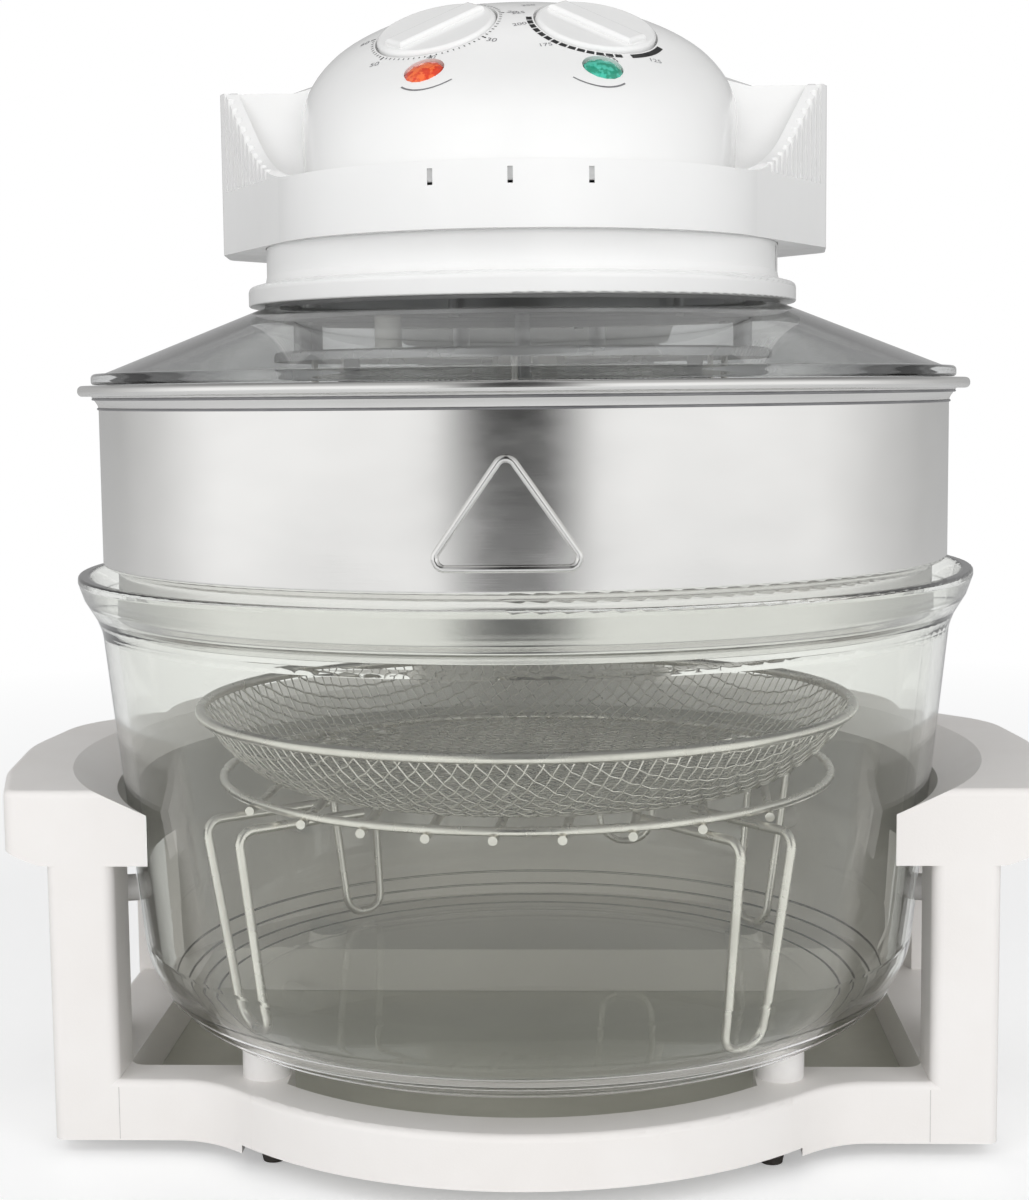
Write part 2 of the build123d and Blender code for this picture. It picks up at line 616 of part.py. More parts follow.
def make_dials():
    for name, plane in zip(("timer_dial", "thermostat_dial"), dial_planes()):
        low = -DIAL_SINK + FIT
        knob = Cylinder(DIAL_R, DIAL_H)
        knob = fillet(knob.edges().filter_by(GeomType.CIRCLE).group_by(Axis.Z)[-1], 1.6)
        turn = -DIAL_GRIP_TURN if name == "timer_dial" else DIAL_GRIP_TURN
        grip = Rot(0, 0, turn) * Pos(0, 0, DIAL_H / 2 + DIAL_GRIP_H / 2) * Box(10, 1.7 * DIAL_R, DIAL_GRIP_H)
        grip = fillet(grip.edges().group_by(Axis.Z)[-1], 0.8 * DIAL_GRIP_H)
        spindle = Pos(0, 0, -DIAL_H / 2 - 7) * Cylinder(SPINDLE_R, 14)
        node(name, plane * Pos(0, 0, low + DIAL_H / 2) * (knob + grip + spindle))
    names = (("timer_unit", 34, 30, 20), ("thermostat_unit", 30, 26, 16))
    for (name, width, depth, height), plane in zip(names, dial_planes()):
        top = -DIAL_SINK - 3 - FIT
        body = Pos(0, 0, top - height / 2) * Box(width, depth, height)
        bore = Pos(0, 0, top - 6) * Cylinder(SPINDLE_R + RUNNING, 14)
        node(name, plane * (body - bore))
    for name, plane in zip(("power_lens", "heat_lens"), lamp_planes()):
        lens = on(plane, LAMP_R, -8, LAMP_STAND)
        lens = fillet(lens.edges().filter_by(GeomType.CIRCLE).sort_by(Axis.Z)[-1], 1.5)
        node(name, lens - on(plane, LAMP_R - 1.5, -9, -2))
    node("lamp_holders", *[on(plane, LAMP_R - 1.5 - FIT, -22, -4) for plane in lamp_planes()])


# ---------------------------------------------------------------- hinge and arm
def make_hinge():
    ear_x = HINGE_HALF_W + FIT + EAR_T / 2
    low = HINGE_Z - HINGE_R - 6
    base = block(-ARM_HALF_W + 1, ARM_HALF_W - 1, COLUMN_FRONT_Y + 1, REAR_Y - 1, low, low + 4)
    ear = rod_x(HINGE_R, ear_x - EAR_T / 2, ear_x + EAR_T / 2, HINGE_Y, HINGE_Z)
    ear = ear + block(ear_x - EAR_T / 2, ear_x + EAR_T / 2, HINGE_Y - HINGE_R, HINGE_Y + HINGE_R, low, HINGE_Z)
    bracket = base + ear + mirror(ear, Plane.YZ)
    bore = rod_x(HINGE_PIN_R + 0.05, -80, 80, HINGE_Y, HINGE_Z)
    node("hinge_bracket", bracket - bore)
    reach = ear_x + EAR_T / 2
    head = rod_x(HINGE_PIN_R + 2.5, reach + 0.2, reach + 3, HINGE_Y, HINGE_Z)
    pin = rod_x(HINGE_PIN_R, -reach - 3, reach + 3, HINGE_Y, HINGE_Z)
    node("hinge_pin", pin + head + mirror(head, Plane.YZ))
    half = HINGE_HALF_W
    bush = rod_x(BUSH_R, half - 14, half, HINGE_Y, HINGE_Z) - rod_x(HINGE_PIN_R + RUNNING, 0, 90, HINGE_Y, HINGE_Z)
    node("hinge_bushes", *both_sides(bush))
    knuckle = rod_x(HINGE_R, -half, half, HINGE_Y, HINGE_Z)
    floor_z = HEAD_Z + HEAD_WALL + FIT
    fall = (HEAD_Z - HINGE_Z + 6) / (HINGE_Y - 18 - 112)
    arm = knuckle + side_prism(
        ARM_W / 2, (HINGE_Y, HINGE_Z - ARM_T / 2), (HINGE_Y - 17, HINGE_Z - ARM_T / 2),
        (HINGE_Y - 22, HINGE_Z - 6 + HEAD_WALL + FIT + 4 * fall + 0.4), (112, floor_z + 0.4), (ARM_FRONT_Y, floor_z),
        (ARM_FRONT_Y, floor_z + ARM_T), (116, floor_z + ARM_T, 15), (HINGE_Y - 20, HINGE_Z + ARM_T / 2 + 3, 10),
        (HINGE_Y, HINGE_Z + ARM_T / 2))
    arm = arm - rod_x(HINGE_PIN_R + 1, -80, 80, HINGE_Y, HINGE_Z)
    for side in (-1, 1):
        arm = arm - rod_x(BUSH_R, side * (half - 14), side * (half + 5), HINGE_Y, HINGE_Z)
    node("lid_arm", arm)


# ---------------------------------------------------------------- stand
def stand_plan():
    """Outer outline of the base and of the rear housing."""
    return mirrored_plan((STAND_X, -STAND_FRONT, 5), (STAND_X, 108, 70), (STAND_X - 48, REAR_Y - 21, 60), (66, REAR_Y, 30))


def bowl_body(grow):
    """The bowl as a solid, a little larger, to cut what carries it."""
    outline = [(r + (grow if r else 0), z - grow) for r, z in ((c[0], c[1]) for c in bowl_outline(0))]
    fillets = [0, BOWL_CORNER_R + grow, 12, 3, 3, 2]
    corners = [(r, z, f) for (r, z), f in zip(outline, fillets)]
    return turned(*corners, (BOWL_RIM_R + grow, RIM_Z + 1), (0, RIM_Z + 1))


def make_stand():
    strip = Rectangle(2 * BULGE_X, 4 * BULGE_R)
    front_half = Pos(0, -BULGE_R, 0) * Rectangle(4 * BULGE_R, 2 * BULGE_R)
    bulge = Circle(BULGE_R) & strip & front_half
    inner_bulge = Circle(BULGE_R - RAIL_D) & Rectangle(2 * BULGE_X - 30, 4 * BULGE_R) & front_half
    leg_x = STAND_X - LEG_W
    opening_rear = PAD_Y - PAD_R - 2
    opening = plan((leg_x, -STAND_FRONT + RAIL_D, 6), (leg_x, opening_rear, 12),
                   (-leg_x, opening_rear, 12), (-leg_x, -STAND_FRONT + RAIL_D, 6)) + inner_bulge
    base = slab(stand_plan() + bulge, FOOT_H, RAIL_Z)
    outline_edges = base.edges().filter_by(Plane.XY).group_by(Axis.Z)[-1]
    base = fillet(outline_edges, 2.5)
    base = base - block(-BULGE_X - 1, BULGE_X + 1, -BULGE_R - 5, -STAND_FRONT + 2, FOOT_H - 1, FOOT_H + NOTCH_H)

    # legs, handles and the collar round the bowl
    handle = mirrored_plan(
        (leg_x - 4, -STAND_FRONT), (HANDLE_X - 15.5, -STAND_FRONT, 6), (HANDLE_X - 5, -48, 60), (HANDLE_X + 1, 5, 90),
        (HANDLE_X - 5, 56, 50), (STAND_X + 4, 79, 16), (leg_x - 4, 84))
    underside = HANDLE_Z - HANDLE_T - HANDLE_DROP
    side_form = Pos(0, 0, 0) * make_face(Curve() + rounded(
        [(0, underside), (STAND_X + 2, underside, 10), (HANDLE_X - 5, HANDLE_Z - HANDLE_T - 3, 25),
         (HANDLE_X + 5, HANDLE_Z - HANDLE_T + 3, 8), (HANDLE_X + 5, HANDLE_Z + 1), (0, HANDLE_Z + 1)],
        lambda u, v: (u, -STAND_FRONT - 5, v)))
    side_form = extrude(side_form, 250, dir=(0, 1, 0))
    handles = slab(handle, underside, HANDLE_Z)
    handles = fillet(handles.edges().filter_by(Plane.XY).group_by(Axis.Z)[-1], 2.5)
    handles = handles & (side_form + mirror(side_form, Plane.YZ))
    leg = block(leg_x, STAND_X, -STAND_FRONT, -STAND_FRONT + LEG_D, FOOT_H, HANDLE_Z - 4)
    leg = fillet(leg.edges().filter_by(Axis.Z), 4)
    beam_low = HANDLE_Z - BEAM_H
    beam = block(leg_x, STAND_X - 1, -STAND_FRONT + 5, 100, beam_low, HANDLE_Z - 4)
    rear_face = stand_plan() & (Pos(0, HOUSING_FRONT_Y + 200, 0) * Rectangle(4 * STAND_X, 400))
    housing = slab(rear_face, FOOT_H + 4, HANDLE_Z)
    housing = housing - disc(RECESS_R, RAIL_Z, beam_low)
    cavity_face = offset(rear_face, -HOUSING_WALL)
    cavity = slab(cavity_face, RAIL_Z, HANDLE_Z - HOUSING_WALL) - disc(RECESS_R + HOUSING_WALL, 0, HANDLE_Z)
    body = base + leg + mirror(leg, Plane.YZ) + beam + mirror(beam, Plane.YZ) + housing + handles
    column_top = HINGE_Z - HINGE_R - 6
    column_face = mirrored_plan((COLUMN_HALF_W, COLUMN_FRONT_Y, 6), (COLUMN_HALF_W, REAR_Y, 8))
    column = slab(column_face, HANDLE_Z - 10, column_top)
    column_bore = slab(offset(column_face, -HOUSING_WALL), HANDLE_Z - 15, column_top - HOUSING_WALL)
    collar_r = bowl_radius(HANDLE_Z) + COLLAR_GAP
    body = body + column - cavity - column_bore - slab(opening, 0, RAIL_Z)
    foot_lands = [disc(FOOT_R + 1.5, 0, 20, side * FOOT_X, FOOT_FRONT_Y) for side in (-1, 1)]
    body = body - (slab(offset(opening, 4 + FIT), 0, FOOT_H + FLOOR_T + 0.5 + FIT) - foot_lands)
    body = body - disc(collar_r, RAIL_Z, HANDLE_Z + 1)
    body = body - turned((0, HANDLE_Z - 0.55 * CHAMFER), (collar_r, HANDLE_Z - 0.55 * CHAMFER),
                         (collar_r + CHAMFER, HANDLE_Z), (collar_r + CHAMFER, HANDLE_Z + 1), (0, HANDLE_Z + 1))
    cover_face = block(-COVER_HALF_W, COVER_HALF_W, REAR_Y - HOUSING_WALL - 1, REAR_Y + 5, COVER_LOW_Z, column_top - 12)
    cover = fillet(cover_face.edges().filter_by(Axis.Y), 6) & block(-80, 80, REAR_Y - HOUSING_WALL, REAR_Y, 0, 400)
    window = fillet(block(-COVER_HALF_W - FIT, COVER_HALF_W + FIT, REAR_Y - HOUSING_WALL - 1, REAR_Y + 5,
                          COVER_LOW_Z - FIT, column_top - 12 + FIT).edges().filter_by(Axis.Y), 6 + FIT)
    node("stand_frame", body - window)
    inlet = Pos(0, REAR_Y, INLET_Z) * Rot(90, 0, 0)
    slots = [block(-VENT_HALF_W, VENT_HALF_W, REAR_Y - 10, REAR_Y + 5, z, z + 3) for z in range(150, 230, 9)]
    node("rear_cover", cover - inlet * Cylinder(INLET_R, 30) - slots)
    node("cord_inlet", inlet * (Pos(0, 0, 6.2 - INLET_STAND) * Cylinder(INLET_R - FIT / 2, 12.4)
                                + Pos(0, 0, -2.3) * Cylinder(INLET_R + 2.5, 3) - Cylinder(INLET_R - 3, 40)))
    floor = slab(offset(opening, 4), FOOT_H + 0.5, FOOT_H + 0.5 + FLOOR_T)
    node("floor_cover", floor - [disc(FOOT_R + 1.5 + FIT, 0, 20, side * FOOT_X, FOOT_FRONT_Y) for side in (-1, 1)])

    foot_spots = [(side * FOOT_X, y) for side in (-1, 1) for y in (FOOT_FRONT_Y, FOOT_REAR_Y)]
    feet = []
    for x, y in foot_spots:
        top = FOOT_H + (NOTCH_H if y < 0 else 0)
        feet.append(Pos(x, y, top / 2) * Cone(FOOT_R * 0.7, FOOT_R, top))
    node("rubber_feet", *feet)
    keepout = bowl_body(FIT)
    pads = [disc(PAD_R, RAIL_Z, BOWL_LIFT + 12, side * PAD_X, y) - keepout
            for side in (-1, 1) for y in (-PAD_Y, PAD_Y)]
    node("bowl_pads", *pads)
    spots = ((-BUMPER_ANGLE, collar_r, BUMPER_Z), (180 + BUMPER_ANGLE, collar_r, BUMPER_Z),
             (45, RECESS_R, REAR_BUMPER_Z), (135, RECESS_R, REAR_BUMPER_Z))
    bumpers = []
    for angle, wall_r, z in spots:
        rod = Rot(0, 0, angle) * Pos(wall_r - 10, 0, z) * Rot(0, 90, 0) * Cylinder(BUMPER_R, 40)
        bumpers.append((rod & disc(wall_r, RAIL_Z, HANDLE_Z)) - keepout)
    node("bowl_bumpers", *bumpers)


# ---------------------------------------------------------------- wire goods
def make_rack():
    rack = torus(RACK_RING_R, RACK_WIRE_R, RACK_Z)
    for i in range(RACK_BARS):
        x = (i - (RACK_BARS - 1) / 2) * RACK_PITCH
        half = sqrt((RACK_RING_R + RACK_WIRE_R + 1) ** 2 - x * x)
        rack = rack + Pos(x, 0, BAR_Z) * Rot(90, 0, 0) * Cylinder(RACK_WIRE_R, 2 * half)
    centre_r, centre_z, corner_r = bowl_corner()
    seat_r = corner_r - RACK_LEG_WIRE_R - FIT
    foot_z = centre_z - sqrt(seat_r ** 2 - (RACK_LEG_FOOT_R - centre_r) ** 2)
    top_z = BAR_Z - RACK_WIRE_R - RACK_LEG_WIRE_R + WELD
    half, foot_half = RACK_LEG_W / 2, RACK_LEG_FOOT_W / 2
    root_r = RACK_RING_R - RACK_LEG_ROOT
    leg = wire_path([
        (root_r, -half, top_z), (RACK_LEG_TOP_R, -half, top_z), (RACK_LEG_FOOT_R, -foot_half, foot_z),
        (RACK_LEG_FOOT_R, foot_half, foot_z), (RACK_LEG_TOP_R, half, top_z), (root_r, half, top_z)],
        [5, 0.45 * RACK_LEG_FOOT_W, 0.45 * RACK_LEG_FOOT_W, 5], RACK_LEG_WIRE_R)
    for turn in range(4):
        rack = rack + Rot(0, 0, RACK_LEG_ANGLE - RACK_TURN + 90 * turn) * leg
    left, right = LOOP_BAR * RACK_PITCH, (LOOP_BAR + 1) * RACK_PITCH
    loop_y = sqrt(RACK_RING_R ** 2 - right ** 2) - 9
    low = BAR_Z - LOOP_DROP
    loop = wire_path([(left, loop_y, BAR_Z), (left, loop_y, low), (right, loop_y, low), (right, loop_y, BAR_Z)],
                     0.46 * RACK_PITCH, LOOP_WIRE_R)
    node("rack", Rot(0, 0, RACK_TURN) * (rack + loop))


def make_basket():
    low = BAR_Z + RACK_WIRE_R + FIT
    s = BASKET_SHEET
    middle = (low + BASKET_RIM_Z) / 2
    body = turned(
        (0, low), (BASKET_FLOOR_R, low, 30), (BASKET_R - BASKET_BULGE, middle, 40), (BASKET_R - 1, BASKET_RIM_Z),
        (BASKET_R - 1 - s, BASKET_RIM_Z), (BASKET_R - BASKET_BULGE - s, middle, 39), (BASKET_FLOOR_R - s / 2, low + s, 29),
        (0, low + s))
    rim = torus(BASKET_R - BASKET_RIM_WIRE_R, BASKET_RIM_WIRE_R, BASKET_RIM_Z)
    node("basket", body + rim)


# ---------------------------------------------------------------- heater, fan and motor
def make_heater():
    z = REFLECTOR_Z
    t = REFLECTOR_T
    edge = REFLECTOR_R
    node("reflector", turned(
        (SHAFT_R + 2, z), (edge, z, 1.5), (edge, z - 3.5), (edge - t, z - 3.5), (edge - t, z - t, 0.8),
        (SHAFT_R + 2, z - t)))
    posts = [disc(POST_R, z, SHIELD_Z, POST_RING_R * cos(radians(a)), POST_RING_R * sin(radians(a)))
             for a in POST_ANGLES]
    node("heater_posts", *posts)
    a = radians(SLEEVE_ANGLE)
    node("ceramic_sleeve", tube(POST_R + 1.2, 1.5, z, SHIELD_Z, POST_RING_R * cos(a), POST_RING_R * sin(a)))
    tube_z = z - t - TUBE_DROP
    gap = 24
    glass = Rot(0, 0, 90 + gap / 2) * revolve(
        Plane.XZ * Pos(TUBE_RING_R, tube_z) * Circle(TUBE_R), Axis.Z, 360 - gap)
    node("halogen_tube", glass)
    caps = []
    for side in (-1, 1):
        spin = 90 + side * (gap / 2)
        end = Rot(0, 0, spin) * Pos(TUBE_RING_R, -side * (0.05 + 4), (tube_z + z - t) / 2) * Box(
            14, 8, abs(z - t - tube_z) + 12)
        caps.append(end & block(-200, 200, -200, 200, tube_z - 7, z - t))
    node("tube_holders", *caps)
    clip = block(TUBE_RING_R - 3, TUBE_RING_R + 3, -1.5, 1.5, tube_z + TUBE_R, z - t)
    node("tube_clips", *[Rot(0, 0, angle) * (clip - Pos(TUBE_RING_R, 0, tube_z) * Sphere(TUBE_R + 0.15))
                         for angle in (-90, 0, 180)])
    guard_z = z - GUARD_H
    spoke_z = guard_z - GUARD_DROP
    pitch = (GUARD_R - GUARD_BEND_R - 2 * GUARD_WIRE_R - GUARD_HUB_R) / GUARD_RINGS
    rings = [torus(GUARD_HUB_R + pitch * (i + 1), GUARD_WIRE_R, guard_z) for i in range(GUARD_RINGS)]
    spoke = wire_path([(GUARD_HUB_R - 4, 0, spoke_z), (GUARD_R, 0, spoke_z), (GUARD_R, 0, z - t - 0.1)],
                      [GUARD_BEND_R], GUARD_WIRE_R)
    spokes = around(spoke, 6, 30)
    hub = disc(GUARD_HUB_R, spoke_z - GUARD_WIRE_R - 0.4, guard_z + GUARD_WIRE_R / 2)
    node("heater_guard", fused([hub, *rings, *spokes]))


def make_fan():
    low = REFLECTOR_Z - GUARD_H + 5
    shaft = disc(SHAFT_R, low, MOTOR_Z + MOTOR_H + 5)
    blade = Pos((FAN_R + 7) / 2, 0, low + 6) * Rot(28, 0, 0) * Box(FAN_R - 7, 11, 1.2)
    node("convection_fan", fused([tube(9, SHAFT_R, low, low + 12), *around(blade, FAN_BLADES)]))
    cool_low = NECK_Z + 5
    blade = Pos((COOL_FAN_R + 8) / 2, 0, cool_low + 4.5) * Rot(-30, 0, 0) * Box(COOL_FAN_R - 8, 9, 1.2)
    node("cooling_fan", fused([tube(10, SHAFT_R, cool_low, cool_low + 9), *around(blade, 10)]))
    node("fan_shaft", shaft)
    body = tube(MOTOR_R, SHAFT_R + RUNNING, MOTOR_Z, MOTOR_Z + MOTOR_H)
    node("motor", fillet(body.edges().filter_by(GeomType.CIRCLE).filter_by(
        lambda e: e.radius > MOTOR_R - 1), 2))
    bracket = block(-84, 84, -13, 13, MOTOR_Z - 2, MOTOR_Z) - disc(SHAFT_R + 4, 0, 500)
    leg = block(82, 84, -13, 13, NECK_Z + 3, MOTOR_Z)
    toe = block(82, 91, -13, 13, NECK_Z + 3, NECK_Z + 5)
    node("motor_bracket", bracket + both_sides(leg + toe))


def make_inner_parts():
    top = HEAD_Z + HEAD_WALL + FIT
    block_x, spot_y = 59, 98
    node("terminal_block", Pos(block_x, spot_y, top + 7.5) * Box(30, 14, 15) - [
        Pos(block_x + dx, spot_y, top + 12) * Cylinder(2, 14) for dx in (-10.5, -3.5, 3.5, 10.5)])
    node("thermal_cutout", Pos(-40, 30, LID_TOP_Z + 4) * Cylinder(8, 8) + Pos(-40, 30, LID_TOP_Z + 11) * Box(10, 4, 6))
    node("tilt_switch", Pos(-57, spot_y, top + 7.5) * Box(24, 12, 15))


MAKERS = (make_bowl, make_extender_ring, make_lid_glass, make_clamp_and_neck, make_head, make_dome,
          make_dials, make_hinge, make_stand, make_rack, make_basket, make_heater, make_fan, make_inner_parts)

if __name__ == "__main__":
    os.makedirs("parts", exist_ok=True)
    for make in MAKERS:
        make()
    for name, shape in NODES.items():
        export_step(shape, f"parts/{name}.step")
    print(len(NODES), "nodes")
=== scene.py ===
"""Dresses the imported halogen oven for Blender: materials, wire mesh, dial scales, lenses and studio.

Sizes are millimetres in the drawing frame of the part (bowl axis on X = Y = 0, table at Z = 0);
at() moves them to the row's frame in metres.
"""
import json
import math

import bpy
import numpy as np
from mathutils import Matrix, Vector
from mathutils.bvhtree import BVHTree


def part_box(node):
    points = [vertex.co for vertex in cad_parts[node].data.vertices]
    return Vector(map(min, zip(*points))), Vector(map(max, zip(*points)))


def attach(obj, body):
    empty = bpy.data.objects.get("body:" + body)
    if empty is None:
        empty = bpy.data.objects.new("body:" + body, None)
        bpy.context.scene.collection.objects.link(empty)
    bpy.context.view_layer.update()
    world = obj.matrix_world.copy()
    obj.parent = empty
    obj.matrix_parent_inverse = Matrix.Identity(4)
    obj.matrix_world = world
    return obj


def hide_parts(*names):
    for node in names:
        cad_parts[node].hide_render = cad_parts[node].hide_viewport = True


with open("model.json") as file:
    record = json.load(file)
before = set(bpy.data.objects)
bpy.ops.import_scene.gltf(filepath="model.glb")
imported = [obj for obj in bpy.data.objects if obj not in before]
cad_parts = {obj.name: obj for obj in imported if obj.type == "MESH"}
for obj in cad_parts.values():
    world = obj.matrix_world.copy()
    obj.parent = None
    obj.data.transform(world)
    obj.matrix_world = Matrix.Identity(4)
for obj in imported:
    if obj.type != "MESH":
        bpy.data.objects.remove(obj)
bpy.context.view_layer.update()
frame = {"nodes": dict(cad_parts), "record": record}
NODES = frame["nodes"]

# ---------------------------------------------------------------- sizes repeated from the part
ORIGIN_Y = 21.1             # from the bowl axis back to the middle of the footprint
RIM_Z = 204.0               # bowl rim
BASKET_RIM_Z = 150.7
BASKET_R = 128.3
RING_R = 160.5              # outside of the steel ring
BEAD_LOW = 270.1            # underside of the ring's rolled rim
LAMP_X, LAMP_Y, LAMP_R = 31.0, -66.5, 7.0
NECK_R = 97.0
NECK_SEAM_AT = -12.0        # degrees from +X
SLOT_XS = (-27.0, 0.0, 27.0)
SLOT_FOOT, SLOT_TOP, SLOT_HALF_W = 339.1, 344.6, 0.9
FOOT_LEVEL, RAIL_LEVEL = 5.0, 27.0
NOTCH = 3.0                 # the bowed rail starts this much above the legs' foot
STAND_FRONT = -88.0
LEG_INSIDE = 144.0
BULGE_R, BULGE_X = 140.0, 98.0
RAIL_EDGE_R = 2.5

ABOVE_HEAD = 430.0          # a level clear over the whole oven
FAR_OFF = 400.0             # a distance clear of it on every side


def at(x, y, z):
    """A point of the drawing frame in the row's frame."""
    return Vector((x, y - ORIGIN_Y, z)) / 1000


# ---------------------------------------------------------------- material helpers
class Wiring:
    """Short calls that add and link the nodes of a tree."""

    def __init__(self, tree):
        self.tree = tree

    def add(self, kind, **settings):
        made = self.tree.nodes.new(kind)
        for key, value in settings.items():
            setattr(made, key, value)
        return made

    def link(self, source, target):
        self.tree.links.new(source, target)

    def maths(self, operation, *sources):
        """Result of a Math node on sockets and plain numbers."""
        made = self.add("ShaderNodeMath", operation=operation)
        for socket, source in zip(made.inputs, sources):
            if isinstance(source, (int, float)):
                socket.default_value = source
            else:
                self.link(source, socket)
        return made.outputs[0]

    def spread(self, factor, low, high, start=0.3, stop=0.7):
        """Map a factor between two numbers."""
        ranged = self.add("ShaderNodeMapRange")
        limits = {"From Min": start, "From Max": stop, "To Min": low, "To Max": high}
        for key, value in limits.items():
            ranged.inputs[key].default_value = value
        self.link(factor, ranged.inputs["Value"])
        return ranged.outputs["Result"]


class Shader(Wiring):
    """A node material built round one Principled BSDF."""

    def __init__(self, name, color=(0.8, 0.8, 0.8), **inputs):
        self.material = bpy.data.materials.new(name)
        self.material.use_nodes = True
        super().__init__(self.material.node_tree)
        self.bsdf = self.tree.nodes["Principled BSDF"]
        self.bsdf.inputs["Base Color"].default_value = (*color, 1)
        self.color = color
        for key, value in inputs.items():
            self.bsdf.inputs[key.replace("_", " ")].default_value = value

    def noise(self, scale, stretch=(1, 1, 1), detail=3.0, rough=0.55):
        """Noise in object space; scale is in features per metre."""
        coord = self.add("ShaderNodeTexCoord")
        mapping = self.add("ShaderNodeMapping")
        mapping.inputs["Scale"].default_value = stretch
        texture = self.add("ShaderNodeTexNoise")
        texture.inputs["Scale"].default_value = scale
        texture.inputs["Detail"].default_value = detail
        texture.inputs["Roughness"].default_value = rough
        self.link(coord.outputs["Object"], mapping.inputs["Vector"])
        self.link(mapping.outputs["Vector"], texture.inputs["Vector"])
        return texture.outputs["Fac"]

    def mottle(self, other, scale, stretch=(1, 1, 1), start=0.35, stop=0.65):
        """Let the colour drift towards another one."""
        mix = self.add("ShaderNodeMix", data_type="RGBA")
        mix.inputs["A"].default_value = (*self.color, 1)
        mix.inputs["B"].default_value = (*other, 1)
        self.link(self.spread(self.noise(scale, stretch), 0, 1, start, stop), mix.inputs["Factor"])
        self.link(mix.outputs["Result"], self.bsdf.inputs["Base Color"])
        return self

    def roughness(self, low, high, scale, stretch=(1, 1, 1)):
        """Let the roughness drift between two values."""
        self.link(self.spread(self.noise(scale, stretch), low, high), self.bsdf.inputs["Roughness"])
        return self

    def bump(self, scale, height, stretch=(1, 1, 1), detail=3.0):
        """Fine relief; height is in metres."""
        bump = self.add("ShaderNodeBump")
        bump.inputs["Strength"].default_value = 1.0
        bump.inputs["Distance"].default_value = height
        self.link(self.noise(scale, stretch, detail), bump.inputs["Height"])
        self.link(bump.outputs["Normal"], self.bsdf.inputs["Normal"])
        return self

    def let_light_in(self, tint):
        """Lamp light passes straight through glass; everything else still bends and mirrors in it."""
        path, clear, mix = (self.add(kind) for kind in (
            "ShaderNodeLightPath", "ShaderNodeBsdfTransparent", "ShaderNodeMixShader"))
        clear.inputs["Color"].default_value = (*tint, 1)
        self.link(path.outputs["Is Shadow Ray"], mix.inputs[0])
        self.link(self.bsdf.outputs[0], mix.inputs[1])
        self.link(clear.outputs[0], mix.inputs[2])
        self.link(mix.outputs[0], self.tree.nodes["Material Output"].inputs["Surface"])


def plastics():
    """Mouldings, rubber and silicone."""
    gloss = Shader("white gloss plastic", (0.93, 0.93, 0.925), Roughness=0.22,
                   Coat_Weight=0.3, Coat_Roughness=0.08)
    gloss.mottle((0.905, 0.905, 0.90), 18).roughness(0.18, 0.27, 40).bump(900, 0.00002)
    stand = Shader("warm white plastic", (0.925, 0.90, 0.88), Roughness=0.4)
    stand.mottle((0.90, 0.87, 0.845), 22).roughness(0.34, 0.48, 60).bump(1400, 0.00004)
    grey = Shader("pale grey plastic", (0.66, 0.65, 0.58), Roughness=0.5).mottle((0.60, 0.59, 0.52), 30)
    black = Shader("black plastic", (0.03, 0.03, 0.03), Roughness=0.45).mottle((0.05, 0.05, 0.05), 50)
    rubber = Shader("black rubber", (0.025, 0.02, 0.018), Roughness=0.75)
    rubber.mottle((0.05, 0.045, 0.04), 120).bump(900, 0.00005)
    seal = Shader("grey silicone", (0.30, 0.30, 0.30), Roughness=0.6).mottle((0.36, 0.36, 0.36), 80)
    pad = Shader("white silicone", (0.90, 0.885, 0.87), Roughness=0.45).mottle((0.84, 0.82, 0.81), 80)
    return {"white_gloss": gloss, "white_stand": stand, "grey_plastic": grey, "black_plastic": black,
            "rubber_black": rubber, "silicone_grey": seal, "silicone_white": pad}


def metals():
    """Steels, aluminium, wire and the casting of the hinge."""
    ring = Shader("brushed steel", (0.87, 0.865, 0.85), Metallic=1.0, Roughness=0.17)
    ring.mottle((0.80, 0.795, 0.78), 9, (1, 1, 1.6)).roughness(0.12, 0.22, 26, (1, 1, 3))
    ring.bump(60, 0.000004, (1, 1, 60), 2.0)
    sheet = Shader("sheet steel", (0.55, 0.55, 0.55), Metallic=1.0, Roughness=0.4)
    sheet.mottle((0.48, 0.48, 0.48), 30).roughness(0.32, 0.5, 60)
    wire = Shader("chromed wire", (0.95, 0.93, 0.88), Metallic=1.0, Roughness=0.28)
    wire.mottle((0.86, 0.84, 0.79), 60).roughness(0.22, 0.36, 90)
    bright = Shader("bright aluminium", (0.80, 0.80, 0.80), Metallic=1.0, Roughness=0.25)
    bright.mottle((0.72, 0.72, 0.72), 25).roughness(0.2, 0.34, 30)
    motor = Shader("motor steel", (0.35, 0.35, 0.36), Metallic=1.0, Roughness=0.45)
    motor.mottle((0.28, 0.28, 0.29), 40)
    cast = Shader("painted casting", (0.84, 0.84, 0.83), Roughness=0.4)
    cast.mottle((0.79, 0.79, 0.78), 50).bump(700, 0.00006)
    tungsten = Shader("tungsten", (0.30, 0.29, 0.28), Metallic=1.0, Roughness=0.4)
    tungsten.mottle((0.2, 0.2, 0.2), 200)
    return {"brushed_steel": ring, "sheet_steel": sheet, "chrome_wire": wire, "bright_sheet": bright,
            "motor_steel": motor, "cast_hinge": cast, "filament": tungsten}


